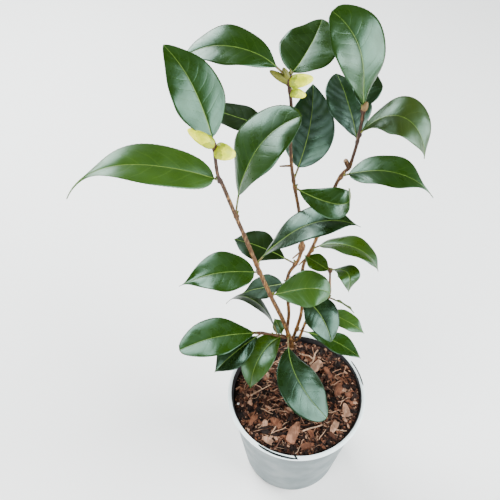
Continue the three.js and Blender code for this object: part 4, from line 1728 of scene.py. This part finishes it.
@dataclass(frozen=True)
class Shrub:
    """The shrub: its limbs, twigs, leaves and buds.

    Attributes:
        hub: the old knot on the centre bough.
        node: swelling of a limb at each joint.
        bracket: extra swelling on the side where the leaf or bud stands.
        node_width: how far both reach along the limb.
        resting: a resting bud's height over its leaf, its rise, its length and its width.
    """

    hub: Swelling = Swelling(284, 1.6, 4.5)
    node: float = 0.32
    bracket: float = 0.85
    node_width: float = 1.8
    resting: tuple[float, float, float, float] = (1.6, 62.0, 3.8, 2.2)

    @cached_property
    def limbs(self) -> dict[str, Limb]:
        """Gives the stem and the boughs by name."""
        points = (STEM_FOOT, *(Vector(point) for point in STEM_GUIDE))
        limbs = {"main_stem": Limb(LimbCurve(points), STEM_RADIUS, STEM_FOOT - UP * STEM_SUNK, STEM_FLARE)}
        for plan in BOUGHS:
            limbs[plan.name] = self.grow(plan, limbs[plan.on])
        return limbs

    @cached_property
    def twigs(self) -> dict[str, Limb]:
        """Gives the twigs of the crowns and the spray by name."""
        return {crown.twig.name: self.grow(crown.twig, self.limbs[crown.twig.on]) for crown in CROWNS}

    def grow(self, plan: LimbPlan, carrier: Limb) -> Limb:
        """Works out a limb that grows from the side or from the tip of its carrier.

        Args:
            plan: the limb's numbers.
            carrier: the limb that it grows from.

        Returns:
            The limb.
        """
        points = [Vector(point) for point in plan.guide]
        if plan.height is None:
            tip, tangent = carrier.curve.at(1.0), carrier.curve.tangent(1.0)
            bend = (points[0] - tip).normalized().cross(tangent).length
            start = tip + tangent * (CLEAR + carrier.radius[1] * bend)
            root = carrier.curve.at(0.99)
        else:
            root = carrier.joint(plan.height)
            start = carrier.seat(plan.height, (points[0] - root).normalized(), plan.radius[0])
        return Limb(LimbCurve((start, *points)), plan.radius, root)

    def knobs(self, parts: Sequence[Leaf | Bud]) -> tuple[Swelling, ...]:
        """Gives the swellings of a limb at the joints of its leaves and buds."""
        found: list[Swelling] = []
        for part in parts:
            found.append(Swelling(part.height, self.node, self.node_width))
            found.append(Swelling(part.height - 0.6, self.bracket, self.node_width, part.heading))
        return tuple(found)

    def bark(self) -> None:
        """Builds the stem and the boughs, with bark relief, knobs and stubs."""
        piece = Piece("stems")
        for name, limb in self.limbs.items():
            knobs = self.knobs(list(SINGLE_LEAVES[name].values()))
            knobs += (self.hub,) if name == "centre_bough" else ()
            LimbSkin(limb, knobs).build(piece, WOODY_STEM)
        for stub in STUBS:
            self.stub(piece, stub)
        piece.close(list(self.limbs), "bark")

    def stub(self, piece: Piece, stub: Stub) -> None:
        """Adds one stub to the stems."""
        root = self.limbs[stub.on].joint(stub.height)
        ahead = direction(stub.heading, stub.rise)
        line = LimbCurve((root, root + ahead * (stub.length * 0.5), root + ahead * stub.length))
        LimbSkin(Limb(line, stub.radius, root - ahead * 0.2), sides=12, step=0.7).build(piece, WOODY_STEM)
        if stub.pale:
            slot = piece.slot(CUT_WOOD)
            for face in piece.mesh.faces:
                off = face.calc_center_median() - line.points[-1]
                if off.length < stub.radius[1] and off.dot(ahead) > stub.radius[1] * 0.45:
                    face.material_index = slot

    def shoots(self) -> None:
        """Builds the twigs of the crowns and the spray."""
        piece = Piece("twigs")
        for crown in CROWNS:
            knobs = self.knobs((*crown.leaves, *crown.buds))
            LimbSkin(self.twigs[crown.twig.name], knobs, sides=18, step=0.8).build(piece, YOUNG_STEM)
        piece.close([], "bark")

    def leaf(self, piece: Piece, limb: Limb, leaf: Leaf, seed: int, fused: bool) -> None:
        """Adds one leaf.

        Args:
            piece: the piece that gathers the limb's leaves.
            limb: the limb that it stands on.
            leaf: the leaf's numbers.
            seed: picks its own waves.
            fused: True where it starts on the limb's middle line, False where it starts beside the limb.
        """
        joint = limb.joint(leaf.height)
        tip = joint + direction(leaf.heading, leaf.rise) * leaf.reach
        away = direction(leaf.heading + leaf.sway, leaf.rise + leaf.lift)
        start = joint if fused else limb.seat(leaf.height, away, LeafSkin.stalk_half * math.sqrt(2))
        root = joint - away * 0.5 if fused else joint
        LeafSkin(leaf, root, leaf.midrib(start, tip), seed).build(piece)

    def foliage(self) -> None:
        """Builds the leaves, one piece for each limb, crown or spray."""
        seed = 0
        for name, leaves in SINGLE_LEAVES.items():
            piece = Piece(f"leaves_on_{name}")
            for leaf in leaves.values():
                seed += 1
                self.leaf(piece, self.limbs[name], leaf, seed, False)
            piece.close(list(leaves), "foliage")
        for crown in CROWNS:
            piece = Piece(f"leaves_of_{crown.twig.name}")
            for leaf in crown.leaves:
                seed += 1
                self.leaf(piece, self.twigs[crown.twig.name], leaf, seed, True)
            piece.close([crown.twig.name], "foliage")

    def buds(self) -> None:
        """Builds the flower buds, and a small resting bud in the corner over each leaf's stalk."""
        piece = Piece("buds")
        seed = 0
        for crown in CROWNS:
            twig = self.twigs[crown.twig.name]
            for bud in crown.buds:
                seed += 1
                BudSkin(bud, twig.joint(bud.height), seed).build(piece)
            for leaf in crown.leaves:
                self.resting_bud(piece, twig, leaf)
        for name, leaves in SINGLE_LEAVES.items():
            for leaf in leaves.values():
                self.resting_bud(piece, self.limbs[name], leaf)
        piece.close([], "foliage")

    def resting_bud(self, piece: Piece, limb: Limb, leaf: Leaf) -> None:
        """Adds the small resting bud in the corner over a leaf's stalk."""
        above, *measures = self.resting
        t = limb.curve.parameter(leaf.height + above)
        root = limb.curve.at(t) + direction(leaf.heading, 0.0) * (limb.thick(t) * 0.6)
        BudSkin(Bud(leaf.height, leaf.heading, *measures, BUD_OLIVE), root).core(piece)

    def build(self) -> None:
        """Builds the whole shrub."""
        for step in (self.bark, self.shoots, self.foliage, self.buds):
            step()


# Studio


@dataclass(frozen=True)
class SoftBox:
    """One soft rectangular light: its name, spot and aim, its width and height, its power and its colour."""

    name: str
    spot: Triple
    aim: Triple
    size: Pair
    watts: float
    tint: Colour

    def build(self) -> None:
        """Hangs the light."""
        light = bpy.data.lights.new(self.name, "AREA")
        light.shape = "RECTANGLE"
        light.size, light.size_y = self.size
        light.energy = self.watts
        light.color = self.tint
        obj = put(self.name, light)
        obj.location = self.spot
        obj.rotation_euler = (Vector(self.aim) - Vector(self.spot)).to_track_quat("-Z", "Y").to_euler()


@dataclass(frozen=True)
class Studio:
    """The pale floor, the soft lights and the camera at the photo's angle."""

    lights: tuple[SoftBox, ...] = (
        SoftBox("right_light", (1.19, -0.275, 0.76), (0.0, 0.0, 0.3), (1.25, 0.9), 62.0, (0.96, 1.0, 1.0)),
        SoftBox("back_light", (-0.66, 0.78, 1.0), (0.0, 0.0, 0.3), (0.85, 0.85), 46.0, (0.96, 1.0, 1.0)),
        SoftBox("front_light", (-0.83, -0.99, 0.82), (0.0, 0.0, 0.25), (1.2, 0.8), 36.0, (1.0, 0.99, 0.97)),
    )
    sky: Colour = (1.0, 1.0, 0.94)
    sky_strength: float = 0.16
    floor_half: float = 4.0
    camera_spot: Triple = (-44.0, -295.0, 732.0)
    pitch: float = 52.3
    lens: float = 430 / 310 * 36
    sensor: float = 36.0
    clip: Pair = (0.01, 50.0)

    def floor(self) -> None:
        """Lays the floor."""
        mesh = bmesh.new()
        bmesh.ops.create_grid(mesh, x_segments=2, y_segments=2, size=self.floor_half)
        obj = put_mesh("studio_floor", mesh)
        obj.data.materials.append(FLOOR_PAINT.material())

    def air(self) -> None:
        """Fills the air with soft light from all sides."""
        world = bpy.data.worlds.new("studio_air")
        world.use_nodes = True
        glow = world.node_tree.nodes["Background"]
        glow.inputs["Color"].default_value = (*self.sky, 1.0)
        glow.inputs["Strength"].default_value = self.sky_strength
        bpy.context.scene.world = world

    def camera(self) -> None:
        """Sets up the camera, looking down on the pot."""
        data = bpy.data.cameras.new("photo_camera")
        data.lens = self.lens
        data.sensor_width = self.sensor
        data.clip_start, data.clip_end = self.clip
        obj = put("photo_camera", data)
        obj.location = Vector(self.camera_spot) * MM
        obj.rotation_euler = (math.radians(90 - self.pitch), 0.0, 0.0)
        bpy.context.scene.camera = obj

    def build(self) -> None:
        """Builds the whole studio."""
        self.floor()
        self.air()
        for light in self.lights:
            light.build()
        self.camera()


def main() -> None:
    """Builds the pot, the compost, the shrub and the studio."""
    logging.basicConfig(level=logging.INFO, format="%(name)s: %(message)s")
    POT.build()
    marks = Piece("rim_marks")
    for mark in RIM_MARKS:
        marks.wrap(mark.sides, mark.steps, mark.skin, RIM_TAR)
    marks.close([], "pot")
    COMPOST.build()
    LooseBits().build()
    Shrub().build()
    Studio().build()


if __name__ == "__main__":
    main()
